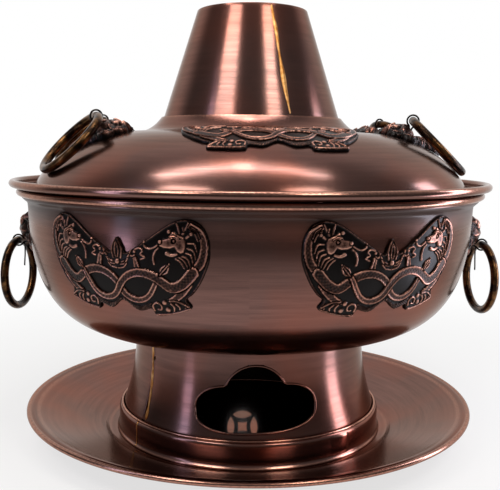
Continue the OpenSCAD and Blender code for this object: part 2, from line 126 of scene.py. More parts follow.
def gridPart(points, wrapRows, along, around, worn=0.0, soot=0.0):
    # Cells of a grid of points: cell (i, j) has the corners (i, j), (i, j+1), (i+1, j+1), (i+1, j).
    # Its columns always close round to the first one, its rows where wrapRows says so.
    rows, cols = points.shape[:2]
    i, j = np.meshgrid(np.arange(rows - (not wrapRows)), np.arange(cols), indexing="ij")
    i, j = i.ravel(), j.ravel()
    steps = ((0, 0), (0, 1), (1, 1), (1, 0))
    faces = np.stack([(i + di) % rows * cols + (j + dj) % cols for di, dj in steps], -1)
    uv = np.stack([np.stack([along[i + di], around[j + dj]], -1) for di, dj in steps], 1)
    spread = lambda value: np.broadcast_to(np.asarray(value, float).reshape(-1, 1), (rows, cols)).ravel()
    return {"points": points.reshape(-1, 3), "faces": [faces], "uv": [uv.reshape(-1, 2)],
            "worn": spread(worn), "soot": spread(soot)}


def addPiece(name, body, material, parts, stoodFor, sharp=38, merge=False):
    mesh = bpy.data.meshes.new(name)
    starts = np.cumsum([0] + [len(p["points"]) for p in parts])
    faces = [(f + start).tolist() for p, start in zip(parts, starts) for f in p["faces"]]
    mesh.from_pydata(np.concatenate([p["points"] for p in parts]) * mm, [], sum(faces, []))
    uv = mesh.uv_layers.new(name="brush")
    uv.data.foreach_set("uv", np.concatenate([u for p in parts for u in p["uv"]]).astype(np.float32).ravel())
    # worn marks rubbed copper; the soot channel marks soot and the painted shade below the bowl's rim
    for key in ("worn", "soot"):
        attribute = mesh.attributes.new(key, "FLOAT", "POINT")
        attribute.data.foreach_set("value", np.concatenate([p[key] for p in parts]).astype(np.float32))
    if merge:
        shape = bmesh.new()
        shape.from_mesh(mesh)
        bmesh.ops.remove_doubles(shape, verts=shape.verts, dist=2e-6)
        shape.to_mesh(mesh)
        shape.free()
    mesh.shade_smooth()
    mesh.set_sharp_from_angle(angle=math.radians(sharp))
    mesh.materials.append(material)
    piece = bpy.data.objects.new(name, mesh)
    scene.collection.objects.link(piece)
    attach(piece, body)
    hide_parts(*stoodFor)
    return piece


def offset(line, d):
    # Every point moves d to the right of the line's own direction there
    step = np.gradient(line, axis=0)
    step /= np.linalg.norm(step, axis=1, keepdims=True)
    return line + d * np.stack([step[:, 1], -step[:, 0]], -1)


def rounded(line, times=3):
    # Corner cutting: each span is replaced by its points at 1/4 and 3/4
    line = np.asarray(line, float)
    for _ in range(times):
        a, b = line[:-1], line[1:]
        inner = np.stack([0.75 * a + 0.25 * b, 0.25 * a + 0.75 * b], 1).reshape(-1, line.shape[1])
        line = np.concatenate([line[:1], inner, line[-1:]])
    return line


def arc(centre, radius, start, end, n):
    # Points on a circle from one angle to another, in degrees
    a = np.radians(np.linspace(start, end, n))
    return np.stack([centre[0] + radius * np.cos(a), centre[1] + radius * np.sin(a)], -1)


def spline(points, n=8, closed=False):
    # Catmull-Rom curve: each span leaves its point along the line between the two neighbours
    p = np.asarray(points, float)
    if closed:
        a, b, c, d = np.roll(p, 1, 0), p, np.roll(p, -1, 0), np.roll(p, -2, 0)
    else:
        q = np.concatenate([p[:1], p, p[-1:]])
        a, b, c, d = q[:-3], q[1:-2], q[2:-1], q[3:]
    t = (np.arange(n) / n)[None, :, None]
    a, b, c, d = (v[:, None] for v in (a, b, c, d))
    curve = (2 * b + t * (c - a) + t ** 2 * (2 * a - 5 * b + 4 * c - d) + t ** 3 * (3 * b - a - 3 * c + d)) / 2
    curve = curve.reshape(-1, p.shape[1])
    return curve if closed else np.concatenate([curve, p[-1:]])


def lengths(points, closed=False):
    # Distance along a line of points, from its first point
    ends = np.concatenate([points, points[:1]]) if closed else points
    return np.concatenate([[0], np.cumsum(np.linalg.norm(np.diff(ends, axis=0), axis=1))])


def ripple(x, seed, waves=9, low=1.0, high=7.0):
    # Seeded sum of sines with falling strength, about -1 to 1
    rng = np.random.default_rng(seed)
    f, phase = rng.uniform(low, high, waves), rng.uniform(0, 2 * np.pi, waves)
    weight = 1 / f
    return (np.sin(np.multiply.outer(x, f) + phase) * weight).sum(-1) / weight.sum() * 1.8


def spun(profile, columns=256, closed=True, spots=(), sootAndShadeSide=None, bulge=None):
    # Sheet spun round the axis: point (r, z) of the profile at azimuth a is (r sin a, -r cos a, z).
    # The profile runs with the metal on its left, so that the faces look outwards.
    a = np.arange(columns) / columns * 2 * np.pi
    r = profile[:, 0, None] + (0 if bulge is None else bulge(profile, a))
    points = np.stack(np.broadcast_arrays(r * np.sin(a), -r * np.cos(a), profile[:, 1, None]), -1)
    worn = np.zeros(len(profile))
    for at, reach, amount in spots:   # cloth wears the profile bright round these places
        worn = np.maximum(worn, amount * np.exp(-(np.linalg.norm(profile - np.array(at), axis=1) / reach) ** 4))
    # Blackened: soot inside the pieces, and painted shade below the bowl's rim
    soot = np.zeros(len(profile)) if sootAndShadeSide is None else sootAndShadeSide(profile)
    around = np.arange(columns + 1) / columns * 2 * np.pi * profile[:, 0].max() * mm
    return gridPart(points, closed, lengths(profile, closed) * mm, around, worn, soot)


def wallLoop(line, thickness, edgePoints=7):
    # Closed profile of an upright sheet: up its outside, round its edge, down its inside
    inner = offset(line, -thickness)
    def cap(p, q):
        centre, half = (p + q) / 2, (p - q) / 2
        turn = np.linspace(0, np.pi, edgePoints)[1:-1, None]
        return centre + half * np.cos(turn) + np.stack([-half[1], half[0]]) * np.sin(turn)
    return np.concatenate([line, cap(line[-1], inner[-1]), inner[::-1], cap(inner[0], line[0])])


def tube(path, radius, reference, closed=False, capRows=4, sides=16):
    # Round wire: each point of the path carries a circle square to the path's own direction
    path = np.asarray(path, float)
    radius = np.broadcast_to(np.asarray(radius, float), len(path)).copy()
    reference = np.broadcast_to(np.asarray(reference, float), path.shape).copy()
    if closed:
        step = np.roll(path, -1, 0) - np.roll(path, 1, 0)
    else:
        step = np.gradient(path, axis=0)
    step /= np.linalg.norm(step, axis=1, keepdims=True)
    if not closed:   # half-round ends: the circle shrinks by a cosine while it moves on by a sine
        turn = np.linspace(0, np.pi / 2, capRows + 1)[1:, None]
        path = np.concatenate([(path[0] - step[0] * radius[0] * np.sin(turn))[::-1], path,
                               path[-1] + step[-1] * radius[-1] * np.sin(turn)])
        radius = np.concatenate([radius[0] * np.cos(turn[::-1, 0]), radius, radius[-1] * np.cos(turn[:, 0])])
        step = np.concatenate([np.repeat(step[:1], capRows, 0), step, np.repeat(step[-1:], capRows, 0)])
        reference = np.concatenate([np.repeat(reference[:1], capRows, 0), reference,
                                    np.repeat(reference[-1:], capRows, 0)])
    side = np.cross(step, reference)
    side /= np.linalg.norm(side, axis=1, keepdims=True)
    up = np.cross(side, step)
    a = np.arange(sides) / sides * 2 * np.pi
    points = path[:, None] + radius[:, None, None] * (np.cos(a)[:, None] * side[:, None]
                                                      - np.sin(a)[:, None] * up[:, None])
    around = np.arange(sides + 1) / sides * 2 * np.pi * radius.max() * mm
    return gridPart(points, closed, lengths(path, closed) * mm, around)


def nearestOn(x, y, a, e):
    # For each point, its nearest place on the segments a to a + e: distance, segment and share of that segment,
    # with the rows of points and the steps from every segment's start
    dx, dy = x[:, None] - a[:, 0], y[:, None] - a[:, 1]
    t = np.clip((dx * e[:, 0] + dy * e[:, 1]) / (e ** 2).sum(1), 0, 1)
    gap = (dx - t * e[:, 0]) ** 2 + (dy - t * e[:, 1]) ** 2
    best, rows = gap.argmin(1), np.arange(len(x))
    return np.sqrt(gap[rows, best]), best, t[rows, best], rows, dx, dy


def distanceInside(x, y, rings):
    # Signed distance to closed lines, positive inside, and the nearest point on them
    a = np.concatenate(rings)
    b = np.concatenate([np.roll(ring, -1, 0) for ring in rings])
    e = b - a
    d, best, t, _, dx, dy = nearestOn(x, y, a, e)
    near = a[best] + t[:, None] * e[best]
    up = (a[:, 1] > y[:, None]) != (b[:, 1] > y[:, None])
    slope = e[:, 0] / np.where(e[:, 1] == 0, 1e-9, e[:, 1])
    inside = (up & (dx < dy * slope)).sum(1) % 2 == 1
    return d * np.where(inside, 1, -1), near


def cutGrid(xs, ys, rings, keepInside=True, step=0.4):
    # A grid of points cut along a closed line: points within half a cell move onto the line,
    # cells split so that no edge crosses it, and triangles with a corner beyond it go
    x, y = (v.ravel() for v in np.meshgrid(xs, ys))
    d, near = distanceInside(x, y, rings)
    if not keepInside:
        d = -d
    onLine = np.abs(d) < 0.5 * step
    side = np.where(onLine, 0, np.sign(d))
    x, y = np.where(onLine, near[:, 0], x), np.where(onLine, near[:, 1], y)
    cols = len(xs)
    i, j = (v.ravel() for v in np.meshgrid(np.arange(len(ys) - 1), np.arange(cols - 1), indexing="ij"))
    a, b, c, e = i * cols + j, i * cols + j + 1, (i + 1) * cols + j + 1, (i + 1) * cols + j
    flip = side[a] * side[c] < 0
    first = np.where(flip[:, None], np.stack([a, b, e], -1), np.stack([a, b, c], -1))
    second = np.where(flip[:, None], np.stack([b, c, e], -1), np.stack([a, c, e], -1))
    tris = np.concatenate([first, second])
    low, high = side[tris].min(1), side[tris].max(1)
    flat = (low == 0) & (high == 0)
    middle = np.zeros(len(tris))
    if flat.any():
        m, _ = distanceInside(x[tris[flat]].mean(1), y[tris[flat]].mean(1), rings)
        middle[flat] = m if keepInside else -m
    tris = tris[(low >= 0) & ((high > 0) | (middle > 0.02))]
    used, tris = np.unique(tris, return_inverse=True)
    return x[used], y[used], tris.reshape(-1, 3), used, np.abs(d[used])


def shellPart(outer, inner, tris, flow, worn=0.0, sootInside=0.0):
    # Two copies of a sheet of triangles, back to back, with walls along the free edges
    n = len(outer)
    edges = np.concatenate([tris[:, [0, 1]], tris[:, [1, 2]], tris[:, [2, 0]]])
    free = edges[~np.isin(edges[:, 0] * n + edges[:, 1], edges[:, 1] * n + edges[:, 0])]
    walls = np.stack([free[:, 0] + n, free[:, 1] + n, free[:, 1], free[:, 0]], -1)
    back = tris[:, ::-1] + n
    both = np.concatenate([flow, flow])
    worn = np.broadcast_to(worn, n)
    return {"points": np.concatenate([outer, inner]), "faces": [tris, back, walls],
            "uv": [both[f.ravel()] for f in (tris, back, walls)],
            "worn": np.concatenate([worn, worn * 0.3]), "soot": np.repeat([0, sootInside], n)}


def facing(angle):
    # Columns: to the right, up and outwards, as seen by one who looks at that side of the pot
    a = math.radians(angle)
    return np.array([[math.cos(a), 0, math.sin(a)], [math.sin(a), 0, -math.cos(a)], [0, 1, 0]])


def tipped(degrees):
    # Turn about the local x axis
    a = math.radians(degrees)
    return np.array([[1, 0, 0], [0, math.cos(a), -math.sin(a)], [0, math.sin(a), math.cos(a)]])


def yawed(degrees):
    # Turn about the local y axis
    a = math.radians(degrees)
    return np.array([[math.cos(a), 0, math.sin(a)], [0, 1, 0], [-math.sin(a), 0, math.cos(a)]])


# Camera, light and floor

view = {"distance": 0.5814, "height": 0.2111, "pitch": 7.13, "roll": 0.6, "lens": 55.13}
cameraData = bpy.data.cameras.new("camera")
cameraData.lens = view["lens"]
camera = bpy.data.objects.new("camera", cameraData)
scene.collection.objects.link(camera)
camera.matrix_world = (Matrix.Translation((0, -view["distance"], view["height"]))
                       @ Matrix.Rotation(math.radians(90 - view["pitch"]), 4, "X")
                       @ Matrix.Rotation(math.radians(view["roll"]), 4, "Z"))
scene.camera = camera
scene.view_settings.view_transform = "Standard"

# Soft boxes: where they stand, what they face, their size and how bright their cloth looks
lamps = {
    "boxLeft": {"at": (-0.46, -0.58, 0.86), "to": (0, 0, 0.22), "size": (0.34, 0.30), "bright": 9, "tint": "#fffaf5"},
    "boxRight": {"at": (0.4, -0.64, 0.86), "to": (0, 0, 0.22), "size": (0.26, 0.3), "bright": 10, "tint": "#fffaf2"},
    "topLeft": {"at": (-0.21, -0.14, 0.88), "to": (-0.06, -0.12, 0.20), "size": (0.10, 0.46), "bright": 13,
                "tint": "#fffaf7"},
    "topRight": {"at": (0.14, -0.14, 0.88), "to": (0.04, -0.12, 0.20), "size": (0.07, 0.42), "bright": 13,
                 "tint": "#fffaf7"},
    "stripRight": {"at": (0.40, -0.035, 0.19), "to": (0.05, -0.035, 0.17), "size": (0.085, 0.42), "bright": 10,
                   "tint": "#eceeff", "lean": -17},
    "stripLeft": {"at": (-0.41, -0.31, 0.26), "to": (0, -0.06, 0.22), "size": (0.07, 0.56), "bright": 3.5,
                  "tint": "#cbd5ff"},
}
for name, lamp in lamps.items():
    light = bpy.data.lights.new(name, "AREA")
    light.shape = "RECTANGLE"
    light.size, light.size_y = lamp["size"]
    light.energy = lamp["bright"] * math.pi * lamp["size"][0] * lamp["size"][1]   # watts of a plain radiator
    light.color = linear(lamp["tint"])[:3]
    holder = bpy.data.objects.new(name, light)
    scene.collection.objects.link(holder)
    place = Vector(lamp["at"])
    holder.matrix_world = (Matrix.Translation(place)
                           @ (Vector(lamp["to"]) - place).to_track_quat("-Z", "Y").to_matrix().to_4x4()
                           @ Matrix.Rotation(math.radians(lamp.get("lean", 0)), 4, "Z"))
    holder.visible_camera = False


def seenDirectly(tree):
    # 1 for rays of the camera, of reflections and through glass, 0 for scattered light
    path = addNode(tree, "LightPath").outputs
    return maths("MAXIMUM", maths("MAXIMUM", path["Is Camera Ray"], path["Is Glossy Ray"]),
                 path["Is Transmission Ray"])


# Brightness of each part of the room, and the stretch over which each one comes in: parts of a direction
# for the world, metres from the pot for the floor
room = {"backdrop": 1.0, "fill": 0.32, "front": 0.07, "top": 0.3, "floor": "#e8e6e3", "floorGlow": 0.7,
        "floorDim": 0.12, "floorRadius": 0.85, "floorDrop": 2e-4, "aboveFrom": (0.05, 0.9), "behindFrom": (0.1, 0.6),
        "glowFrom": (0.2, 0.6), "dimFrom": (0.26, 0.72), "backFrom": (-0.05, 0.3)}
world = bpy.data.worlds.new("room")
scene.world = world
world.use_nodes = True
tree = world.node_tree
tree.nodes.clear()
# The backdrop hangs behind the pot and reflections show it there; the room in front of it is dark, less so above
direction = joined("SeparateXYZ", {0: addNode(tree, "TexCoord").outputs["Generated"]})
above = remap(direction["Z"], *room["aboveFrom"], room["front"], room["top"])
behind = remap(direction["Y"], *room["behindFrom"], interpolation_type="SMOOTHSTEP")
fill, glossy, backdrop = (
    addNode(tree, "Background", {"Color": linear("#ffffff"), "Strength": strength}).outputs[0]
    for strength in (room["fill"], mixValue(behind, above, room["backdrop"]), room["backdrop"]))
path = addNode(tree, "LightPath").outputs
clear = maths("MAXIMUM", path["Is Camera Ray"], path["Is Transmission Ray"])
sky = mixShader(clear, mixShader(path["Is Glossy Ray"], fill, glossy), backdrop)
joined("OutputWorld", {"Surface": sky})

floorPaper, tree, place = newMaterial("paperSweep")   # matt white background paper
paper = addNode(tree, "BsdfDiffuse", {"Color": linear(room["floor"])}).outputs[0]
# The paper runs out into the white backdrop: its own glow grows from the pot outwards
far = distanceOf(place)
share = maths("MULTIPLY", seenDirectly(tree), remap(far, *room["glowFrom"], room["floorGlow"], 1.0))
# What metal mirrors of it grows dim in front of the pot, where the paper runs out into the dark room
dim = remap(far, *room["dimFrom"], 1.0, room["floorDim"])
back = remap(joined("SeparateXYZ", {0: place})["Y"], *room["backFrom"])
bright = mixValue(addNode(tree, "LightPath").outputs["Is Glossy Ray"], 1.0, mixValue(back, dim, 1.0))
glow = joined("Emission", {"Color": linear("#ffffff"), "Strength": bright})[0]
joined("OutputMaterial", {"Surface": mixShader(share, paper, glow)})
floorMesh = bpy.data.meshes.new("floor")
ring = np.linspace(0, 2 * np.pi, 96, endpoint=False)
edge = room["floorRadius"] * np.stack([np.cos(ring), np.sin(ring)], -1)
floorMesh.from_pydata(np.column_stack([edge, np.full(len(ring), -room["floorDrop"])]), [], [list(range(len(ring)))])
floorMesh.materials.append(floorPaper)
floor = bpy.data.objects.new("floor", floorMesh)
scene.collection.objects.link(floor)
print("stage: camera, lamps and floor")


# Materials

def brushedCopper(name, look):
    # Copper sheet, spun and brushed round the axis, blackened, rubbed back and lacquered: dark brown
    # with a red glow, fine rings of brush marks and bright copper where hands and cloth wear the edges.
    # Its brush marks are about 0.1 mm apart; they are drawn 0.5 mm apart so that they show.
    material, tree, place = newMaterial(name)
    brush = addNode(tree, "UVMap", uv_map="brush").outputs[0]
    streaks = []
    for across, along, detail, roughness in ((3.2, 90, 2, 0.5), (0.5, 26, 3, 0.6)):
        stretched = joined("Mapping", {"Vector": brush, "Scale": (1 / (across * mm), 1 / (along * mm), 1)})
        streaks.append(noise(stretched[0], 1, detail, roughness))
    streak = mixValue(0.45, *streaks)
    tone = remap(streak, 0.3, 0.72)
    base = mixColour(tone, look["dark"], look["mid"])
    glowing = remap(noise(place, 62 * mm, 2, 0.45), 0.46, 0.68, 0, look["glow"])
    warm = mixColour(glowing, base, look["red"])
    rubbed = remap(noise(place, 1.3 * mm), 0.35, 0.6, 0.35, 1)
    wornShare = maths("MULTIPLY", painted(tree, "worn"), rubbed)
    edged = mixColour(wornShare, warm, look["worn"])
    # Soot inside the foot, band, tube and chimney and under the bowl's floor, and painted shade below the bowl's rim,
    # both turn the copper matt and near black
    sootAndShadeShare = painted(tree, "soot")
    rough = remap(tone, 0, 1, look["rough"] + 0.06, look["rough"] - 0.03)
    if "polished" in look:   # the hidden middle keeps the mill's polish
        flat = joined("VectorMath", {0: place, 1: (1, 1, 0)}, operation="MULTIPLY")[0]
        worked = remap(distanceOf(flat), (look["polished"] - 8) * mm, look["polished"] * mm)
        rough = mixValue(worked, look["polish"], rough)
    dented = bump(noise(place, 34 * mm, 1), look["dents"] * mm)
    surfaced({
        "Base Color": mixColour(sootAndShadeShare, edged, look["soot"]),
        "Metallic": remap(sootAndShadeShare, 0, 1, 1, 0.2), "Roughness": mixValue(sootAndShadeShare, rough, 0.8),
        "Normal": bump(streak, look["marks"] * mm, Normal=dented),
        "Tangent": addNode(tree, "Tangent", direction_type="UV_MAP", uv_map="brush").outputs[0],
        "Anisotropic": look["aniso"], "Specular Tint": linear(look["edge"]), "Coat Weight": look["coat"],
        "Coat Roughness": look["coatRough"]})
    return material


# The near-black soot colour also serves as the painted shade below the bowl's rim
copperLook = {"dark": "#5b403a", "mid": "#7b5850", "red": "#8c4c39", "worn": "#bd8a76", "soot": "#0b0908",
              "edge": "#cbbdb4", "glow": 0.5, "rough": 0.19, "aniso": 0.5, "coat": 0.3,
              "coatRough": 0.16, "dents": 0.4, "marks": 0.014}
sheetCopper = brushedCopper("brushedAntiqueCopper", copperLook)
trayCopper = brushedCopper("brushedAntiqueTray", {**copperLook, "polished": 97, "polish": 0.045,
                                                  "aniso": 0.2, "dents": 0.02, "marks": 0.002})


def reliefCopper(name, look):
    # Copper pressed into relief, blackened all over and polished back by cloth: black in the hollows,
    # brown on the ground and pink copper on whatever stands up.
    material, tree, place = newMaterial(name)
    speck = noise(place, 1.6 * mm, 3, 0.6)
    shade = maths("ADD", painted(tree, "worn"), remap(speck, 0.3, 0.7, -0.16, 0.16))
    ground = mixColour(remap(shade, 0.12, 0.5), look["black"], look["brown"])
    tops = mixColour(noise(place, 18 * mm, 1), look["copper"], look["pink"])
    surfaced({
        "Base Color": mixColour(remap(shade, 0.5, 0.88), ground, tops), "Metallic": 1.0,
        "Roughness": remap(shade, 0, 1, 0.55, 0.3), "Normal": bump(speck, 0.05 * mm),
        "Coat Weight": 0.2, "Coat Roughness": 0.25})
    return material


pressedCopper = reliefCopper("pressedCopperRelief", {"black": "#120c0a", "brown": "#4a2f27",
                                                     "copper": "#a2644f", "pink": "#c09482"})


def wireMetal(name, look):
    # Drawn wire or cast metal with a dark skin that is rubbed bright in long patches
    material, tree, place = newMaterial(name)
    rubbed = remap(noise(place, look["patch"] * mm, 3, 0.55), 0.42, 0.66)
    grain = noise(place, 0.9 * mm)
    surfaced({
        "Base Color": mixColour(rubbed, look["dark"], look["bright"]),
        "Metallic": look["metal"], "Roughness": remap(grain, 0, 1, look["rough"] - 0.08, look["rough"] + 0.1),
        "Normal": bump(grain, look["pits"] * mm)})
    return material


agedBronze = wireMetal("agedBronzeRod", {"dark": "#231811", "bright": "#7a5634", "patch": 9, "rough": 0.3,
                                         "pits": 0.03, "metal": 1.0})
blackWire = wireMetal("blackenedIronWire", {"dark": "#141111", "bright": "#3b3431", "patch": 6, "rough": 0.34,
                                            "pits": 0.02, "metal": 1.0})
brassSolder = wireMetal("brassSolderSeam", {"dark": "#ad7238", "bright": "#dfae70", "patch": 4, "rough": 0.36,
                                            "pits": 0.08, "metal": 1.0})
castIron = wireMetal("sootyCastIron", {"dark": "#191615", "bright": "#332c29", "patch": 14, "rough": 0.62,
                                       "pits": 0.15, "metal": 0.4})
print("stage: materials")


# Drip tray

tray = {"roll": (165.3, 20.9), "rollRadius": 1.7, "sheet": 1.2}
trayTop = rounded([(0, 1.2), (60, 1.2), (104, 1.2), (106.5, 1.6), (108.6, 3.0), (111, 4.9), (156, 20.2),
                   (158.4, 21.2), (160.6, 22.0), (162.4, 22.35), (163.9, 22.1)])
trayLow = offset(trayTop, tray["sheet"])
trayLow = trayLow[trayLow[:, 0] < 163.4]
trayLow[:, 1] = np.maximum(trayLow[:, 1], 0)
trayProfile = np.concatenate([trayLow, arc(tray["roll"], tray["rollRadius"], -165, 133, 24), trayTop[::-1]])
addPiece("dripTray", "tray", trayCopper, [spun(trayProfile, 320, closed=False, spots=[
    ((165.9, 21.6), 2.2, 0.75), ((158.5, 21.2), 1.6, 0.35),
    ((107, 1.8), 1.2, 0.2)])], ["drip_tray"], merge=True)

# Foot: flared wall with the cloud opening and the coin holes

foot = {"ventAngle": 3.4, "ventHeight": 39.2, "ventLean": 2.0, "hem": 0.85, "coinAngle": 183.4, "coinHeight": 41.5,
        "coin": 15.0, "web": 2.2, "sheet": 1.2, "seamAngle": -50.5, "cell": 0.8, "topRadius": 86, "top": 81,
        "flare": 10, "flareHeight": 61.4, "low": 3.5, "high": 80.85, "hemWorn": 0.2, "soot": 0.9}
arcRadius = 90   # arcs along the wall are measured at this distance from the axis


def turned(line, angle):
    c, s = math.cos(angle), math.sin(angle)
    return line @ np.array([[c, s], [-s, c]])


def footRadius(z):
    # Widens from the bowl down to the band by the 2.3rd power of the depth
    return foot["topRadius"] + foot["flare"] * np.clip((foot["top"] - z) / foot["flareHeight"], 0, 1) ** 2.3


def cloudLine(grow=0.0):
    # Cloud: a wide lower half (superellipse of the third power), two side lobes and a round top lobe
    half, low, lobeAt, lobeHeight, top, topAt = 40.5, 14.7, 20.3, 14.8, 20.8 + grow, 7.6
    a = np.radians(np.arange(0, 90, 4))
    lower = np.stack([(half + grow) * np.sin(a) ** (2 / 3), -(low + grow) * np.cos(a) ** (2 / 3)], -1)
    b = np.radians(np.arange(0, 91, 4))
    lobe = np.stack([lobeAt + (half - lobeAt + grow) * np.cos(b), (lobeHeight + grow) * np.sin(b)], -1)
    lobe = lobe[lobe[:, 0] ** 2 + (lobe[:, 1] - topAt) ** 2 > top * top]
    c = np.linspace(math.atan2(lobe[-1, 1] - topAt, lobe[-1, 0]), np.pi / 2, 16)[1:]
    right = np.concatenate([lower, lobe, np.stack([top * np.cos(c), topAt + top * np.sin(c)], -1)])
    line = np.concatenate([right, (right * (-1, 1))[::-1][1:-1]])
    return turned(line, math.radians(foot["ventLean"]))


def petalLine(turn):
    # One petal of the coin: where two circles of one size overlap
    r, far = foot["coin"] - foot["web"] / 2, foot["coin"] * math.sqrt(2)
    a = np.linspace(-1, 1, 15) * math.acos(far / 2 / r)
    line = np.concatenate([np.stack([r * np.cos(a), r * np.sin(a)], -1),
                           np.stack([far - r * np.cos(a), -r * np.sin(a)], -1)[1:-1]])
    return turned(line, turn)


def squareLine():
    # The coin's middle: a square whose sides are hollowed by circles that meet at its corners
    far, r = foot["coin"] * 1.15, foot["coin"] * 0.9
    corner = (far - math.sqrt(2 * r * r - far * far)) / 2
    a = np.linspace(-1, 1, 12)[:-1] * math.asin(corner / r)
    edge = np.stack([far - r * np.cos(a), r * np.sin(a)], -1)
    return np.concatenate([turned(edge, i * math.pi / 2) for i in range(4)])


def toWall(line, height, angle):
    # Outline seen straight from one side, carried onto the wall as arc and height
    z = height + line[:, 1]
    return np.stack([arcRadius * (np.arcsin(line[:, 0] / footRadius(z)) + math.radians(angle)), z], -1)


def onFoot(s, z, out=0.0):
    a, r = s / arcRadius, footRadius(z) + out
    return np.stack([r * np.sin(a), -r * np.cos(a), z], -1)


def span(*stops):
    # Grid lines from stop to stop, each with its own cell
    lines = [np.linspace(a, b, max(2, int(abs(b - a) / cell) + 1))[:-1] for a, cell, b in
             zip(stops[0::2], stops[1::2], stops[2::2])]
    return np.concatenate(lines + [[stops[-1]]])


perDegree = arcRadius * math.pi / 180
cell = foot["cell"]
start = foot["seamAngle"] * perDegree
footArcs = span(start, 2.4, -26 * perDegree, cell, 33 * perDegree, 2.6, 171 * perDegree, cell, 196 * perDegree,
                2.6, start + 360 * perDegree)
footHeights = span(foot["low"], 2.5, 21, cell, 64, 2.4, foot["high"])
coinRings = [petalLine(i * math.pi / 2) for i in range(4)] + [squareLine()]
footRings = ([toWall(cloudLine(), foot["ventHeight"], foot["ventAngle"])]
             + [toWall(ring, foot["coinHeight"], foot["coinAngle"]) for ring in coinRings])
arcs, heights, tris, _, _ = cutGrid(footArcs, footHeights, footRings, keepInside=False, step=cell)
wall = shellPart(onFoot(arcs, heights), onFoot(arcs, heights, -foot["sheet"]), tris,
                 np.stack([heights, arcs], -1) * mm, sootInside=foot["soot"])
hemLine = toWall(cloudLine(0.5), foot["ventHeight"], foot["ventAngle"])
hemPath = onFoot(hemLine[:, 0], hemLine[:, 1], -0.05)
hem = tube(hemPath, foot["hem"], onFoot(hemLine[:, 0], hemLine[:, 1], 10) - hemPath, closed=True)
hem["worn"] = hem["worn"] + foot["hemWorn"]
addPiece("foot", "pot", sheetCopper, [wall, hem], ["pedestal"], merge=True)

# Band wrapped round the foot

band = {"lapAngle": 43.6, "lap": 0.8, "lapReach": 9, "sheet": 1.2, "bead": (97.15, 19.6), "beadRadius": 1.0,
        "face": (4, 17.8), "faceRadius": 98.9, "soot": 0.85}
bandLine = rounded([(101.2, 1.5), (101.2, 2.3), (99.9, 3.7), (99.5, 5.1), (99.5, 9), (99.5, 16.6), (98.9, 18.3),
                    (97.9, 19.1)], 2)
bandInner = offset(bandLine, -band["sheet"])
bandInner = bandInner[bandInner[:, 1] < 18.6]


def lapBulge(profile, a):
    # The outer end of the band stands proud and eases down to nothing away from its edge
    back = (band["lapAngle"] - np.degrees((a + np.pi) % (2 * np.pi) - np.pi))
    reach, (low, high) = band["lapReach"], band["face"]
    rise = np.where((back >= 0) & (back < reach), np.clip((reach - back) / 6, 0, 1), 0)
    face = np.clip((profile[:, 1] - low) / 1.5, 0, 1) * np.clip((high - profile[:, 1]) / 1.5, 0, 1)
    return band["lap"] * (face * (profile[:, 0] > band["faceRadius"]))[:, None] * rise[None]


def behindLine(profile, line, depth):
    # True for the points of a profile that lie farther inside than the sheet's outer line
    return profile[:, 0] < np.interp(profile[:, 1], line[:, 1], line[:, 0]) - depth


def bandSoot(profile):
    return band["soot"] * behindLine(profile, bandLine, 0.7) * (profile[:, 1] < 18.5)


bandProfile = np.concatenate([bandLine, arc(band["bead"], band["beadRadius"], -35, 190, 14), bandInner[::-1]])
addPiece("footBand", "pot", sheetCopper, [
    spun(bandProfile, 540, bulge=lapBulge, sootAndShadeSide=bandSoot,
         spots=[((97.6, 20.2), 1.3, 1), ((101.1, 2.4), 0.9, 0.75), ((99.6, 16.8), 1, 0.35), ((99.6, 5), 0.9, 0.3)])],
         ["foot_band"])

# Bowl

# Of these, 0.7 is the strength of the painted shade below the rim and 0.85 that of the soot under the floor
bowl = {"floor": 81, "floorRadius": 86, "spread": 76.5, "rise": 97.8, "hole": 80, "sheet": 1.5,
        "roll": (168, 180.2), "rollRadius": 2.3, "underRimShade": 0.7, "soot": 0.85}


def bowlRadius(z):
    # From the floor out to the rim: a quarter of a superellipse (powers 2.66 and 0.347)
    up = np.abs(1 - (z - bowl["floor"]) / bowl["rise"])
    return bowl["floorRadius"] + bowl["spread"] * (1 - up ** 2.66) ** 0.347


a = np.radians(np.linspace(90, 90 - 84.8, 60))
bowlWall = np.stack([bowl["floorRadius"] + bowl["spread"] * np.cos(a) ** 0.694,
                     bowl["floor"] + bowl["rise"] * (1 - np.sin(a) ** 0.752)], -1)
bowlWall = bowlWall[bowlWall[:, 1] < 170.5]
rimLine = rounded([bowlWall[-1], (162.6, 172.4), (163.4, 173.7), (165.4, 175.3), (166.6, 176.5), (166.75, 178.2)], 2)
bowlLine = np.concatenate([[(r, bowl["floor"]) for r in (bowl["hole"], 82, 84.5)], bowlWall, rimLine[1:]])
bowlInner = offset(bowlLine, -bowl["sheet"])
bowlInner = bowlInner[(bowlInner[:, 1] < 177.6) & (bowlInner[:, 0] >= bowl["hole"])]
bowlProfile = np.concatenate([bowlLine, arc(bowl["roll"], bowl["rollRadius"], -118, 200, 26), bowlInner[::-1]])


def underRim(profile):
    # Painted shade darkens the last 14 mm outside below the rim, where the rim's lip shades the wall; the floor's
    # underside is sooty
    share = np.clip((profile[:, 1] - 158) / 14, 0, 1)
    outside = profile[:, 0] > bowlRadius(np.minimum(profile[:, 1], 172)) - 0.75
    floor = (profile[:, 0] < bowl["floorRadius"] + 0.3) & (profile[:, 1] < bowl["floor"] + 0.3)
    return bowl["underRimShade"] * share ** 1.2 * outside * (profile[:, 1] < 177.5) + bowl["soot"] * floor


addPiece("bowlSheet", "pot", sheetCopper, [spun(bowlProfile, 360, sootAndShadeSide=underRim, spots=[
    ((169.2, 179.2), 2.4, 0.85)])], ["bowl"])

# Fire tube, chimney and grate

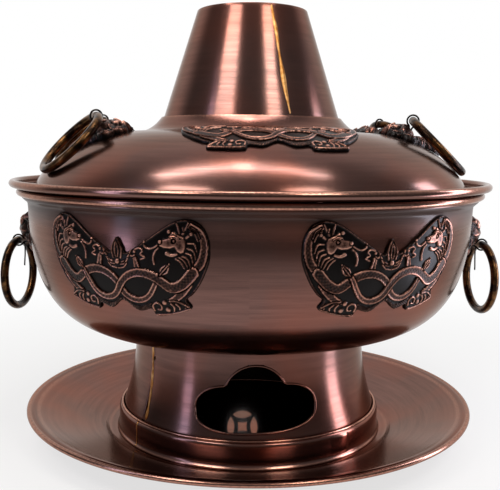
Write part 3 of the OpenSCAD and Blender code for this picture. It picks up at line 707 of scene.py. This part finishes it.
flue = {"tubeFoot": (79.85, 79), "tubeTop": (65, 230.5), "tubeSheet": 1.2, "chimneyFoot": 230.8, "chimneyRadius": 66,
        "taper": 25.4, "chimneyHeight": 80.5, "chimneySheet": 1.0, "low": 231.3, "high": 310.8, "soot": 0.85}
tubeLine = np.linspace(flue["tubeFoot"], flue["tubeTop"], 30)


def tubeSoot(profile):
    return flue["soot"] * (behindLine(profile, tubeLine, 0.7) | (profile[:, 1] < bowl["floor"] + 0.5))


addPiece("fireTube", "pot", sheetCopper, [spun(wallLoop(tubeLine, flue["tubeSheet"]), 192, sootAndShadeSide=tubeSoot)],
         ["fire_tube"])


def chimneyRadius(z):
    return flue["chimneyRadius"] - flue["taper"] * (z - flue["chimneyFoot"]) / flue["chimneyHeight"]


chimneyHeights = np.linspace(flue["low"], flue["high"], 36)
chimneyLine = np.stack([chimneyRadius(chimneyHeights), chimneyHeights], -1)


def chimneyDents(profile, a):
    # The mouth is a little out of round, and the cone has two shallow flats beaten in
    up = np.clip((profile[:, 1] - flue["chimneyFoot"]) / flue["chimneyHeight"], 0, 1)[:, None]
    return 0.28 * up * np.cos(2 * a - 0.7) - 0.2 * np.exp(-((a - 0.4) / 0.09) ** 2 - ((up - 0.45) / 0.2) ** 2)


def chimneySoot(profile):
    return flue["soot"] * (profile[:, 0] < chimneyRadius(profile[:, 1]) - 0.6)


addPiece("chimneyCone", "pot", sheetCopper, [
    spun(wallLoop(chimneyLine, flue["chimneySheet"]), 220, bulge=chimneyDents, sootAndShadeSide=chimneySoot,
         spots=[((40.1, 311.4), 1.4, 0.3)])], ["chimney"])

for name in ("charcoal_grate", "grate_lugs"):
    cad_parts[name].data.materials.clear()
    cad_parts[name].data.materials.append(castIron)

# Brazed seams

seams = {
    "footSeam": {"node": "pedestal_seam", "angle": foot["seamAngle"], "low": 21.2, "high": 80, "radius": footRadius,
                 "seed": 4, "width": 1.1, "wander": 0.1, "rise": 0.5},
    "chimneySeam": {"node": "chimney_seam", "angle": 21.5, "low": 234.9, "high": flue["high"],
                    "radius": chimneyRadius, "seed": 11, "width": 1.25, "wander": 0.55, "rise": 0.4},
}


def seamPart(seam, lean=2.4, rows=120, sides=14):   # lean: mm that the seam runs to each side of upright
    # A bead of solder along the joint: half-round across, its width and middle wandering by a sum of sines
    t = np.linspace(0, 1, rows)
    ends = np.clip(np.minimum(t, 1 - t) * 30, 0, 1) ** 0.5
    width = seam["width"] * (1 + 0.45 * ripple(t * 8, seam["seed"])) * ends
    middle = lean * (1 - 2 * t) + seam["wander"] * ripple(t * 3, seam["seed"] + 1)
    high = (seam["rise"] + 0.16 * ripple(t * 9, seam["seed"] + 2)) * ends
    c = np.arange(sides) / sides * 2 * np.pi
    x = middle[:, None] + width[:, None] * np.cos(c)
    z = (seam["low"] + (seam["high"] - seam["low"]) * t)[:, None] + 0 * x
    out = 0.08 + high[:, None] * np.maximum(np.sin(c), -0.1)
    r = seam["radius"](z) + out
    local = np.stack([x, z, np.sqrt(r ** 2 - x ** 2)], -1)
    points = local @ facing(seam["angle"]).T
    return gridPart(points[:, ::-1], False, t * 0.07, np.arange(sides + 1) / sides * 0.006)


# The foot's solder also ran down over the band
bandOuter = np.concatenate([bandLine[bandLine[:, 1] < 19.0], arc(band["bead"], band["beadRadius"], -30, 90, 12)])
runDown = {"angle": -52.2, "low": 2.2, "high": 20.45, "seed": 8, "width": 0.5, "wander": 0.2, "rise": 0.28,
           "radius": lambda z: np.interp(z, bandOuter[:, 1], bandOuter[:, 0])}
for name, seam in seams.items():
    beads = [seamPart(seam)] + ([seamPart(runDown, lean=0.6, rows=60)] if name == "footSeam" else [])
    addPiece(name, "pot", brassSolder, beads, [seam["node"]], merge=True)

fillet = np.array([(79.95, 82.7), (83.5, 82.65), (84.1, 82.75), (82.2, 83.5), (80.6, 84.7), (79.85, 86.3),
                   (79.45, 86.9), (79.4, 86.2)])
addPiece("tubeBraze", "pot", brassSolder, [spun(fillet, 192)], ["tube_braze"])
print("stage: tray, foot, bowl, fire tube and chimney")

# Lid

lid = {"roll": (172.4, 186.3), "rollRadius": 2.6, "sheet": 1.2, "turn": 7.5, "collar": 66.82, "collarFlare": 17.5,
       "collarRise": 10.5, "shoulder": 84.32, "shoulderHeight": 223.4, "domeSpread": 72.68, "domeFoot": 184.8,
       "domeRise": 38.6}


def lidHeight(rho):
    # Flared collar (power 2.2), then a dome that is a quarter of a superellipse (powers 2.2 and 0.77)
    up = np.clip(1 - (rho - lid["collar"]) / lid["collarFlare"], 0, 1)
    out = np.clip((rho - lid["shoulder"]) / lid["domeSpread"], 0, 1)
    return np.where(rho < lid["shoulder"], lid["shoulderHeight"] + lid["collarRise"] * up ** 2.2,
                    lid["domeFoot"] + lid["domeRise"] * (1 - out ** 2.2) ** 0.77)


s = np.linspace(0, 1, 14)[:-1]
flare = np.stack([lid["collar"] + lid["collarFlare"] * s,
                  lid["shoulderHeight"] + lid["collarRise"] * (1 - s) ** 2.2], -1)
a = np.radians(np.linspace(0, 89, 46))
dome = np.stack([lid["shoulder"] + lid["domeSpread"] * np.sin(a) ** 0.909,
                 lid["domeFoot"] + lid["domeRise"] * np.cos(a) ** 1.54], -1)
brim = rounded([dome[-1], (157.3, 184.35), (158.6, 184.0), (169, 184.0), (170.2, 184.3)], 2)
lidTop = np.concatenate([flare, dome, brim[1:]])
lidLow = offset(lidTop, lid["sheet"])
lidLow = lidLow[lidLow[:, 0] < 170.6]
lidProfile = np.concatenate([lidLow, arc(lid["roll"], lid["rollRadius"], -112, 216, 30), lidTop[::-1]])
addPiece("lidDome", "lid", sheetCopper, [spun(lidProfile, 360, spots=[
    ((173.6, 188.2), 2.6, 0.7), ((157.8, 184.2), 1.6, 0.35),
    ((66.9, 233.8), 1.6, 0.5)])], ["lid_shell"])
print("stage: lid")

# Relief: heights painted stroke by stroke on a grid

def strokeAt(x, y, points, n=6):
    # Distance to a curve, signed distance across it, way along it and share of that way
    line = spline(points, n)
    a, e = line[:-1], np.diff(line, axis=0)
    way, long = lengths(line), (e ** 2).sum(1)
    d, best, t, rows, dx, dy = nearestOn(x, y, a, e)
    across = (e[best, 0] * dy[rows, best] - e[best, 1] * dx[rows, best]) / np.sqrt(long[best])
    along = way[best] + t * np.sqrt(long[best])
    return d, across, along, along / way[-1]


def scaledBand(h, v, s, half):
    # Flat band with a raised edge, covered with diamond scales: product of two crossed waves
    p = 2 * np.pi / 2.5
    scales = np.abs(np.cos((s + v) * p / 2) * np.cos((s - v) * p / 2)) ** 0.5
    edge = np.exp(-((np.abs(v) - half + 0.45) / 0.42) ** 2)
    return h * (0.62 + 0.2 * scales * (1 - edge) + 0.42 * edge)


def paint(field, x, y, kind, points, widths, h, groove=0.55):
    # The stroke first clears a groove to the ground, then lays its own profile there
    points = np.asarray(points, float)
    reach = max(widths) / 2 + groove
    near = ((x > points[:, 0].min() - reach - 2) & (x < points[:, 0].max() + reach + 2)
            & (y > points[:, 1].min() - reach - 2) & (y < points[:, 1].max() + reach + 2))
    d, v, s, t = strokeAt(x[near], y[near], points)
    half = (widths[0] + (widths[1] - widths[0]) * t) / 2
    value = field[near]
    value = np.where(d < half + groove, 0, value)
    if kind == "band":
        top = scaledBand(h, np.sign(v) * d, s, half)
    elif kind == "fin":
        top = h * (0.55 + 0.3 * np.cos(2 * np.pi * (s + 0.8 * v) / 1.5))
    else:
        top = h * np.sqrt(np.clip(1 - (d / half) ** 2, 0, 1)) ** 0.8
    field[near] = np.where(d < half, top, value)


def blob(field, x, y, centre, radius, h, groove=0.4):
    d = np.hypot(x - centre[0], y - centre[1])
    cleared = np.where(d < radius + groove, 0, field)
    field[:] = np.where(d < radius, h * np.sqrt(np.clip(1 - (d / radius) ** 2, 0, 1)) ** 0.7, cleared)


def plate(field, x, y, ring, h):
    # Raised area with a rounded edge: height grows to h over 1.2 mm
    d, _ = distanceInside(x, y, [ring])
    value = np.where(d > -0.45, 0, field)
    field[:] = np.where(d > 0, h * (1 - np.clip(1 - d / 1.2, 0, 1) ** 2 * 0.7), value)


def blurred(grid, sigma):
    # Gaussian blur by Fourier transform: exp(-2 pi^2 sigma^2 f^2)
    fy, fx = np.fft.fftfreq(grid.shape[0]), np.fft.rfftfreq(grid.shape[1])
    soften = np.exp(-2 * np.pi ** 2 * sigma ** 2 * (fy[:, None] ** 2 + fx[None] ** 2))
    return np.fft.irfft2(np.fft.rfft2(grid) * soften, grid.shape)


def wornOn(field, shape, cell, flat, edge):
    # Cloth polishes what stands above its neighbourhood
    grid = field.reshape(shape)
    above = grid - blurred(grid, 1.5 / cell)
    return np.clip(flat * grid / grid.max() + edge * above, 0, 1).ravel()


# Plaques: two dragons, their necks crossed under a bud

plaque = {"ground": 1.2, "seat": 0.15, "cell": 0.42, "bowlHeight": 143.0, "lidRho": 105.0, "low": 1.15, "high": 1.45}
wing = [(3.5, 12), (6.5, 9), (19, 16.5), (34, 26.5), (43.5, 29.3), (51.5, 26.5), (55.5, 19), (56, 11), (55, 4),
        (50.5, -6), (45.5, -13), (41, -17), (43, -22), (36, -25), (27, -27.5), (20.5, -28), (18, -24), (9.5, -26)]
flip = lambda points: [(-q[0], q[1]) for q in points]
plaqueRing = spline([(0, 17.5)] + wing + [(0, -20)] + flip(wing)[::-1], 4, closed=True)
neck = [(1, -9), (6, -4.7), (12, -2.4), (18, -2.2), (24, -4), (28.2, -6.6), (33.5, -9.8), (39, -8), (43, -4.5),
        (46.5, -0.5)]
foreleg = [(-1, -9.5), (3, -15.3), (8, -18.2), (14, -18.2), (19, -15.3), (22.5, -10.5), (25, -6), (27.2, -2.8)]
head = [(27.4, 17.2), (27.2, 15.2), (28.3, 13.6), (31, 12.6), (34.5, 12.4), (37, 13.2), (38.3, 11), (40.5, 9.8),
        (42.3, 10.6), (43.4, 13.5), (43.6, 16.8), (42.6, 19.2), (40.6, 20.4), (38.6, 21), (37.2, 22.2), (35.3, 22.6),
        (34, 21.8), (35, 20), (33.2, 18.6), (30.8, 17.9)]
strands = [   # widths at both ends, then the lines that have them; later strokes cut into earlier ones
    ((1.1, 1.1), [[(10.2, 11), (9, 8.6), (10.3, 7), (12.3, 7.8)]]),
    ((1.2, 1), [[(12.6, 11.2), (15.5, 12), (17.5, 10.6), (16, 8.6), (18.6, 6.9), (16, 5.6)],
                [(27.3, -2.8), (28.6, 1.2), (33.2, 3.7)], [(27.3, -2.8), (31.5, -1.2), (33.2, 3.7)]]),
    ((1.1, 0.9), [[(27.3, -2.8), (32.5, 2.8)]]),
    ((1.2, 1.1), [[(27.6, 14.8), (24.6, 12.8), (21.4, 12), (19, 13.2), (18.4, 15.6)]]),
    ((1.1, 1.4), [[(27.4, 12.6), (25.2, 10.5), (24, 7.2), (24.4, 3.4)]]),
    ((1.7, 1), [[(40, 20.5), (39.4, 23.8), (38.4, 26.8)]]), ((1.8, 1), [[(41.2, 20), (43.2, 23.6), (45, 27.2)]]),
    ((1.7, 1.2), [[(43.2, 18.6), (46.4, 21)]]), ((1, 1), [[(42.4, 22.6), (41.8, 24.5)]]),
    ((1.1, 0.8), [[(37.5, 7), (40, 5), (42, 1.5)], [(39, 8), (42, 6), (44, 2)], [(41, 8.5), (44, 7), (45.5, 2.5)],
                  [(43, 10.5), (46, 9), (47, 4)], [(44, 13), (47.5, 11.5), (48.5, 7)],
                  [(44.5, 16), (48, 15.5), (49.5, 11)]]),
    ((0.9, 0.9), [[(46.5, 25), (49.5, 23), (51, 19)], [(46, 23), (48.5, 21), (50, 17.5)]]),
    ((1.3, 1.1), [[(20.5, -24.5), (20, -21.5), (22.5, -19.6), (25.3, -20.8), (25, -23.5), (22.8, -23.6)]]),
    ((1.5, 0.9), [[(31.5, -19.5), (33, -21.5), (32.5, -24.4)], [(34.5, -19.5), (36.3, -21.3), (35.8, -23.8)],
                  [(37.5, -18.6), (40, -20.3), (39, -22.8)], [(31, -18), (36, -18), (42.6, -21.6)]]),
    ((1.1, 1.1), [[(21, -27), (27, -26.4), (34, -24.8), (42, -22)]]),
    ((1, 1), [[(0.5, 17.3), (3.4, 11), (2.6, 5.5)]]), ((1, 0.8), [[(0.4, 14.5), (1.3, 9.5), (0.2, 5)]]),
    ((1, 1), [[(8.5, 7.8), (6, 4.6), (3, 3.2)], [(7.5, 5.6), (5, 2.4), (2, 1.8)],
              [(6.5, 2.6), (4.2, 0.2), (0.6, -0.4)]]),
]
limbs = [   # fin below, hind leg, tail and stalk
    ("fin", [(1.5, -19.3), (5, -22.3), (10, -24), (15, -23), (18.5, -21.5)], (2.6, 3.4), 0.8),
    ("band", [(43, -7), (39.5, -12), (35, -16), (31.5, -18)], (5.5, 3.5), plaque["low"]),
    ("band", [(47.5, 1), (51, 5), (53, 11), (53.2, 17), (51.5, 22), (48.5, 24.5), (45.5, 26)], (5, 3.2),
     plaque["low"]),
    ("band", [(14, -2), (13.2, 2), (12.4, 6.2)], (4.2, 2.4), plaque["low"]),
]
balls = [((12.2, 9.8), 0.95), ((18.4, 15.8), 1.0), ((46.4, 21.2), 1.1), ((29, -23.4), 1.7), ((27.6, -19.2), 1.6)]


def plaqueField(x, y):
    low, high = plaque["low"], plaque["high"]
    field = 0 * x
    edge, _ = distanceInside(x, y, [plaqueRing])
    field += 0.6 * np.exp(-((edge - 0.75) / 0.42) ** 2)
    for side in (1, -1):
        half = x * side
        for kind, points, widths, h in limbs:
            paint(field, half, y, kind, points, widths, h)
    # Under: the left dragon's neck into its own right foreleg; over: the other way round
    paint(field, x, y, "band", flip(neck)[::-1] + foreleg[1:], (6.4, 2.8), low)
    paint(field, x, y, "band", flip(foreleg)[::-1] + neck[1:], (2.8, 6.6), low * 1.15)
    for side in (1, -1):
        half = x * side
        for widths, lines in strands:
            for points in lines:
                paint(field, half, y, "round", points, widths, 0.95, 0.4)
        plate(field, half, y, np.array(head), high)
        paint(field, half, y, "round", [(32.2, 9.8), (35, 8.8), (38, 9.6)], (2.4, 1.6), low)
        paint(field, half, y, "round", [(34.5, 19.4), (37.5, 19.6), (40, 18.2)], (1.3, 1.1), high + 0.1, 0.15)
        for centre, radius, h in (((28.6, 16.2), 1.2, high + 0.1), ((36.8, 17), 1.0, high), ((34, 22.1), 1.2, low)):
            blob(field, half, y, centre, radius, h, 0.5)
        for centre, radius in balls:
            blob(field, half, y, centre, radius, 1.0)
    blob(field, x, y, (0, 3.4), 1.6, 1.35)
    return field * np.clip(edge / 0.5 + 0.4, 0, 1)


def onProfile(x, up, out, rho, slopeR, slopeZ, h):
    # A point of the wall moved h along its normal (slopeR, slopeZ) in the plane of the axis
    grow = 1 + h * slopeR / rho
    return np.stack([x * grow, up + h * slopeZ, out * grow], -1)


def normalOf(radius, z):
    slope = (radius(z + 0.05) - radius(z - 0.05)) / 0.1
    return 1 / np.sqrt(1 + slope ** 2), -slope / np.sqrt(1 + slope ** 2)


def bentOnBowl(x, y, h, centre):
    z = centre + y
    rho = bowlRadius(z)
    return onProfile(x, z, np.sqrt(rho ** 2 - x ** 2), rho, *normalOf(bowlRadius, z), h)


def meetLid(x, y, centre, base, tilt):
    # From the plane that touches the lid at its centre, along its normal down to the dome: Newton steps
    z = 0 * x
    for _ in range(12):
        up = base + y * math.sin(tilt) + z * math.cos(tilt)
        out = centre - y * math.cos(tilt) + z * math.sin(tilt)
        rho = np.hypot(x, out)
        z = z - (up - lidHeight(rho)) * math.cos(tilt)
    return z, up, out, rho


def bentOnLid(x, y, h, centre):
    tilt = -math.atan(float(lidHeight(centre + 0.5) - lidHeight(centre - 0.5)))
    _, up, out, rho = meetLid(x, y, centre, lidHeight(centre), tilt)
    fall = (lidHeight(rho - 0.05) - lidHeight(rho + 0.05)) / 0.1
    long = np.sqrt(1 + fall ** 2)
    return onProfile(x, up, out, rho, fall / long, 1 / long, h)


def camel(words):
    # First word as it is, the others with a capital
    return "".join(word.capitalize() if i else word for i, word in enumerate(words.split("_")))


cell = plaque["cell"]
xs, ys = np.arange(-57.2, 57.3, cell), np.arange(-29.2, 30.4, cell)
gridX, gridY = (v.ravel() for v in np.meshgrid(xs, ys))
field = plaqueField(gridX, gridY)
worn = wornOn(field, (len(ys), len(xs)), cell, 0.42, 1.1)
x, y, tris, used, edge = cutGrid(xs, ys, [plaqueRing], step=cell)
rim = np.clip(edge / 0.7, 0, 1) ** 0.5
thick = plaque["ground"] * (0.45 + 0.55 * rim) + field[used]
for name, body, angle, bend, centre in (
        ("bowl_plaque_front_left", "pot", -28.1, bentOnBowl, plaque["bowlHeight"]),
        ("bowl_plaque_front_right", "pot", 30.5, bentOnBowl, plaque["bowlHeight"]),
        ("bowl_plaque_rear_left", "pot", 210.5, bentOnBowl, plaque["bowlHeight"]),
        ("bowl_plaque_rear_right", "pot", 151.9, bentOnBowl, plaque["bowlHeight"]),
        ("lid_plaque_front", "lid", lid["turn"], bentOnLid, plaque["lidRho"]),
        ("lid_plaque_rear", "lid", lid["turn"] + 180, bentOnLid, plaque["lidRho"])):
    outer, inner = (bend(x, y, plaque["seat"] + h, centre) @ facing(angle).T for h in (thick, 0 * thick))
    part = shellPart(outer, inner, tris, np.stack([x, y], -1) * mm, worn=worn[used])
    addPiece(camel(name), body, pressedCopper, [part], [name], sharp=60)
print("stage: plaques")

# Rings and their wire eyes

rings = {"radius": 25.0, "wire": 3.0, "loop": 4.15, "loopWire": 0.65, "shank": 1.3, "leg": 8.0, "tail": 18.0}


def ringPart():
    # Round rod bent to a circle below the eye; its thickness wavers a little round the circle
    a = np.arange(144) / 144 * 2 * np.pi
    path = np.stack([rings["radius"] * np.sin(a), -rings["radius"] + rings["radius"] * np.cos(a), 0 * a], -1)
    radius = rings["wire"] * (1 - 0.012 * (1 + ripple(a, 3)))
    return tube(path, radius, (0, 0, 1), closed=True, sides=28)


def eyePart(stand, inside, tail):
    # Wire doubled through the wall, opened to a loop in front of it, its legs bent flat behind
    r, low = rings["loop"], -stand - inside - rings["shank"] / 2
    a = np.radians(np.linspace(-158, 158, 40))
    loop = np.stack([0 * a, r * np.sin(a), r * np.cos(a)], -1)
    back = np.array([(0, 0.62, -6.2), (0, 0.62, -stand - inside + 0.6), (3.0, 0.6, low), (rings["leg"], 0.6, low)])
    leg = rounded(np.concatenate([loop[-1:], back]), 3)
    other = (leg * (-1, -1, 1))[::-1]
    path = np.concatenate([other[:-1], loop, leg[1:]])
    parts = [tube(path, rings["loopWire"], (0.2, 0.3, 1), sides=12)]
    if tail:
        y = np.linspace(0, -rings["tail"], 24)
        bend = np.stack([0.35 * np.sin(y / 5), y - 1.2, -4.475 + 0.25 * np.sin(y / 4)], -1)
        parts.append(tube(bend, 0.55, (0, 0, 1), sides=12))
    return parts


def moved(part, turn, shift=(0, 0, 0)):
    # Part carried by a rotation and a shift
    return {**part, "points": part["points"] @ np.asarray(turn).T + np.asarray(shift, float)}


# Where each handle stands: its foot's height and distance from the axis, how it and its ring are turned,
# the loop's middle in front of the wall, how deep the wire reaches, and the angles round the pot
lidTilt, ringRest = 17.64, 45.575
handles = {
    "bowl": {"body": "pot", "height": 146, "out": 161.021, "stand": np.eye(3), "loop": (0, -5.5, 16), "inside": 3.0,
             "tail": True, "drop": 0, "angles": {"left": -90, "right": 90},
             "ringTurn": lambda angle: yawed(math.copysign(8, angle)),
             "wall": lambda x, y, h: np.sqrt(bowlRadius(h["height"] + y) ** 2 - x ** 2) - h["out"]},
    "lid": {"body": "lid", "height": 219.186, "out": 114.0, "stand": tipped(lidTilt - 90), "loop": (0, -0.5, 14),
            "inside": 2.0, "tail": False, "drop": 4.5,
            "angles": {"front_left": -62.5, "front_right": 77.5, "rear_left": 257.5, "rear_right": 117.5},
            "ringTurn": lambda angle: tipped(ringRest - lidTilt),
            "wall": lambda x, y, h: meetLid(x, y, h["out"], h["height"], math.radians(lidTilt))[0]},
}


def stood(part, handle, angle):
    # From the handle's own frame to its place on the pot
    return moved(moved(part, handle["stand"], (0, handle["height"], handle["out"])), facing(angle))


for home, handle in handles.items():
    for side, angle in handle["angles"].items():
        ring = moved(ringPart(), handle["ringTurn"](angle), handle["loop"])
        eye = [moved(part, np.eye(3), handle["loop"])
               for part in eyePart(handle["loop"][2], handle["inside"], handle["tail"])]
        addPiece(home + "Ring_" + side, home + "_ring_" + side, agedBronze, [stood(ring, handle, angle)],
                 [home + "_ring_" + side])
        addPiece(home + "Eye_" + side, handle["body"], blackWire, [stood(part, handle, angle) for part in eye],
                 [home + "_eye_" + side])
print("stage: rings and eyes")

# Lion heads that the rings hang from

lion = {"cell": 0.4, "face": 17.0, "lock": 6.0, "lockAt": 15.0, "seat": 0.15, "plate": 2.9,
        "beard": [(15, -4), (4, -23), (0, -26), (-4, -23), (-15, -4)]}
lockAngles = np.radians(np.arange(-10, 191, 40))
creases = [   # brow, nose's side, nostril, mouth, beard's two furrows, and two whisker folds: line, width, height
    ([(1.6, 11.5), (4.5, 14.6), (8.2, 14.8), (11, 12)], 1.0, 1.5), ([(1.2, 10), (1.5, 6)], 0.7, -0.9),
    ([(2, 2.2), (2.6, 3.4)], 0.8, -1.3), ([(0, -4.2), (3.5, -5.4), (7.5, -4.2), (10, -1)], 0.8, -1.8),
    ([(0.9, -7.2), (1.1, -12.5)], 0.7, -0.8), ([(3.4, -8), (3.8, -12.5)], 0.7, -0.8),
    ([(8.5, 3.5), (11.5, 2.8), (13.5, 5.5)], 0.7, 0.9), ([(8.8, -3.4), (12, -5.2), (14, -3.5)], 0.7, 0.9),
]


def lionOutline():
    # From the middle outwards: the farthest of the face's disc, the locks' discs and the beard's sides
    a = np.radians(np.arange(0, 360, 2.0))
    ray = np.stack([np.cos(a), np.sin(a)], -1)
    reach = np.full(len(a), lion["face"])
    for b in lockAngles:
        c = lion["lockAt"] * np.array([math.cos(b), math.sin(b)])
        along = ray @ c
        inside = along ** 2 - c @ c + lion["lock"] ** 2
        reach = np.where((inside > 0) & (along > 0), np.maximum(reach, along + np.sqrt(np.maximum(inside, 0))), reach)
    for p, q in zip(np.array(lion["beard"][:-1], float), np.array(lion["beard"][1:], float)):
        e = q - p
        turn = ray[:, 0] * e[1] - ray[:, 1] * e[0]
        turn = np.where(np.abs(turn) < 1e-9, 1e-9, turn)
        t, share = (p[0] * e[1] - p[1] * e[0]) / turn, (p[0] * ray[:, 1] - p[1] * ray[:, 0]) / turn
        reach = np.where((t > 0) & (share >= 0) & (share <= 1), np.maximum(reach, t), reach)
    return ray * reach[:, None]


def ridge(x, y, points, width, h):
    # Bell-shaped ridge or, with a height below zero, furrow along a curve, the same on both sides
    d, _, _, _ = strokeAt(np.abs(x), y, np.asarray(points, float))
    return h * np.exp(-(d / width) ** 2)


def smoothMax(a, b, soft=0.8):
    return (a + b + np.sqrt((a - b) ** 2 + soft ** 2)) / 2


def lionHeights(x, y, wall, drop):
    # Ground with curled locks: each lock a spiral wave about its own middle
    r, a = np.hypot(x, y), np.arctan2(y, x)
    ground = lion["plate"] + 0.7 * np.abs(np.cos(11 * a + 0.35 * r)) * np.clip((r - 10) / 3, 0, 1)
    for b in lockAngles:
        cx, cy = lion["lockAt"] * math.cos(b), lion["lockAt"] * math.sin(b)
        rho, phi = np.hypot(x - cx, y - cy), np.arctan2(y - cy, (x - cx) * (1 if cx > -1 else -1))
        curl = lion["plate"] + 0.5 + 0.75 * np.cos(2 * np.pi * rho / 2.7 - phi - b)
        ground = np.where(rho < lion["lock"], curl + 0.6 * (1 - rho / lion["lock"]), ground)
    beard = lion["plate"] + 0.5 + 0.7 * np.cos(2 * np.pi * x / 2.3 + 0.5 * np.sin(y / 3))
    ground = np.where((y < -10) & (np.abs(x) < 13), beard, ground)
    surface = wall + ground
    balls = [(0, 5, 1 - drop, 13), (0, 3.5, 11.5 - drop, 3.2), (0, -9, 1.5 - drop / 2, 6), (6, 9.5, 9 - drop, 3.5),
             (9, -1, 2 - drop, 5), (11, 14, 3 - drop / 2, 4.5), (3.6, -0.5, 7.6 - drop, 3.6)]
    face = wall - 5
    for cx, cy, cz, radius in balls:
        d = np.hypot(np.abs(x) - cx, y - cy)
        cap = np.where(d < radius, cz + np.sqrt(np.clip(radius ** 2 - d ** 2, 0, None)), cz - 3 * (d - radius))
        face = smoothMax(face, cap)
    eye = np.hypot(np.abs(x) - 6, y - 9.5)
    details = (sum(ridge(x, y, *crease) for crease in creases)
               - 1.1 * np.exp(-((eye - 3.6) / 0.6) ** 2) - 0.9 * np.exp(-(eye / 0.9) ** 2))
    return smoothMax(surface, face) + details * (face > surface - 2.5)


lionRing = lionOutline()
cell = lion["cell"]
xs, ys = np.arange(-22, 22.1, cell), np.arange(-26.8, 21.9, cell)
gridX, gridY = (v.ravel() for v in np.meshgrid(xs, ys))
x, y, tris, used, edge = cutGrid(xs, ys, [lionRing], step=cell)
rim = 0.3 + 0.7 * np.clip(edge / 1.0, 0, 1) ** 0.5
for home, handle in handles.items():
    base = handle["wall"](gridX, gridY, handle)
    grid = lionHeights(gridX, gridY, base, handle["drop"])
    worn = wornOn(grid - base, (len(ys), len(xs)), cell, 0.35, 0.62)
    wall = handle["wall"](x, y, handle) + lion["seat"]
    top = wall + np.maximum((lionHeights(x, y, wall, handle["drop"]) - wall) * rim, 0.5)
    for side, angle in handle["angles"].items():
        part = shellPart(np.stack([x, y, top], -1), np.stack([x, y, wall], -1), tris, np.stack([x, y], -1) * mm,
                         worn=worn[used])
        addPiece(camel(home + "_lion_" + side), handle["body"], pressedCopper, [stood(part, handle, angle)],
                 [home + "_lion_" + side], sharp=60)
print("stage: lion heads")
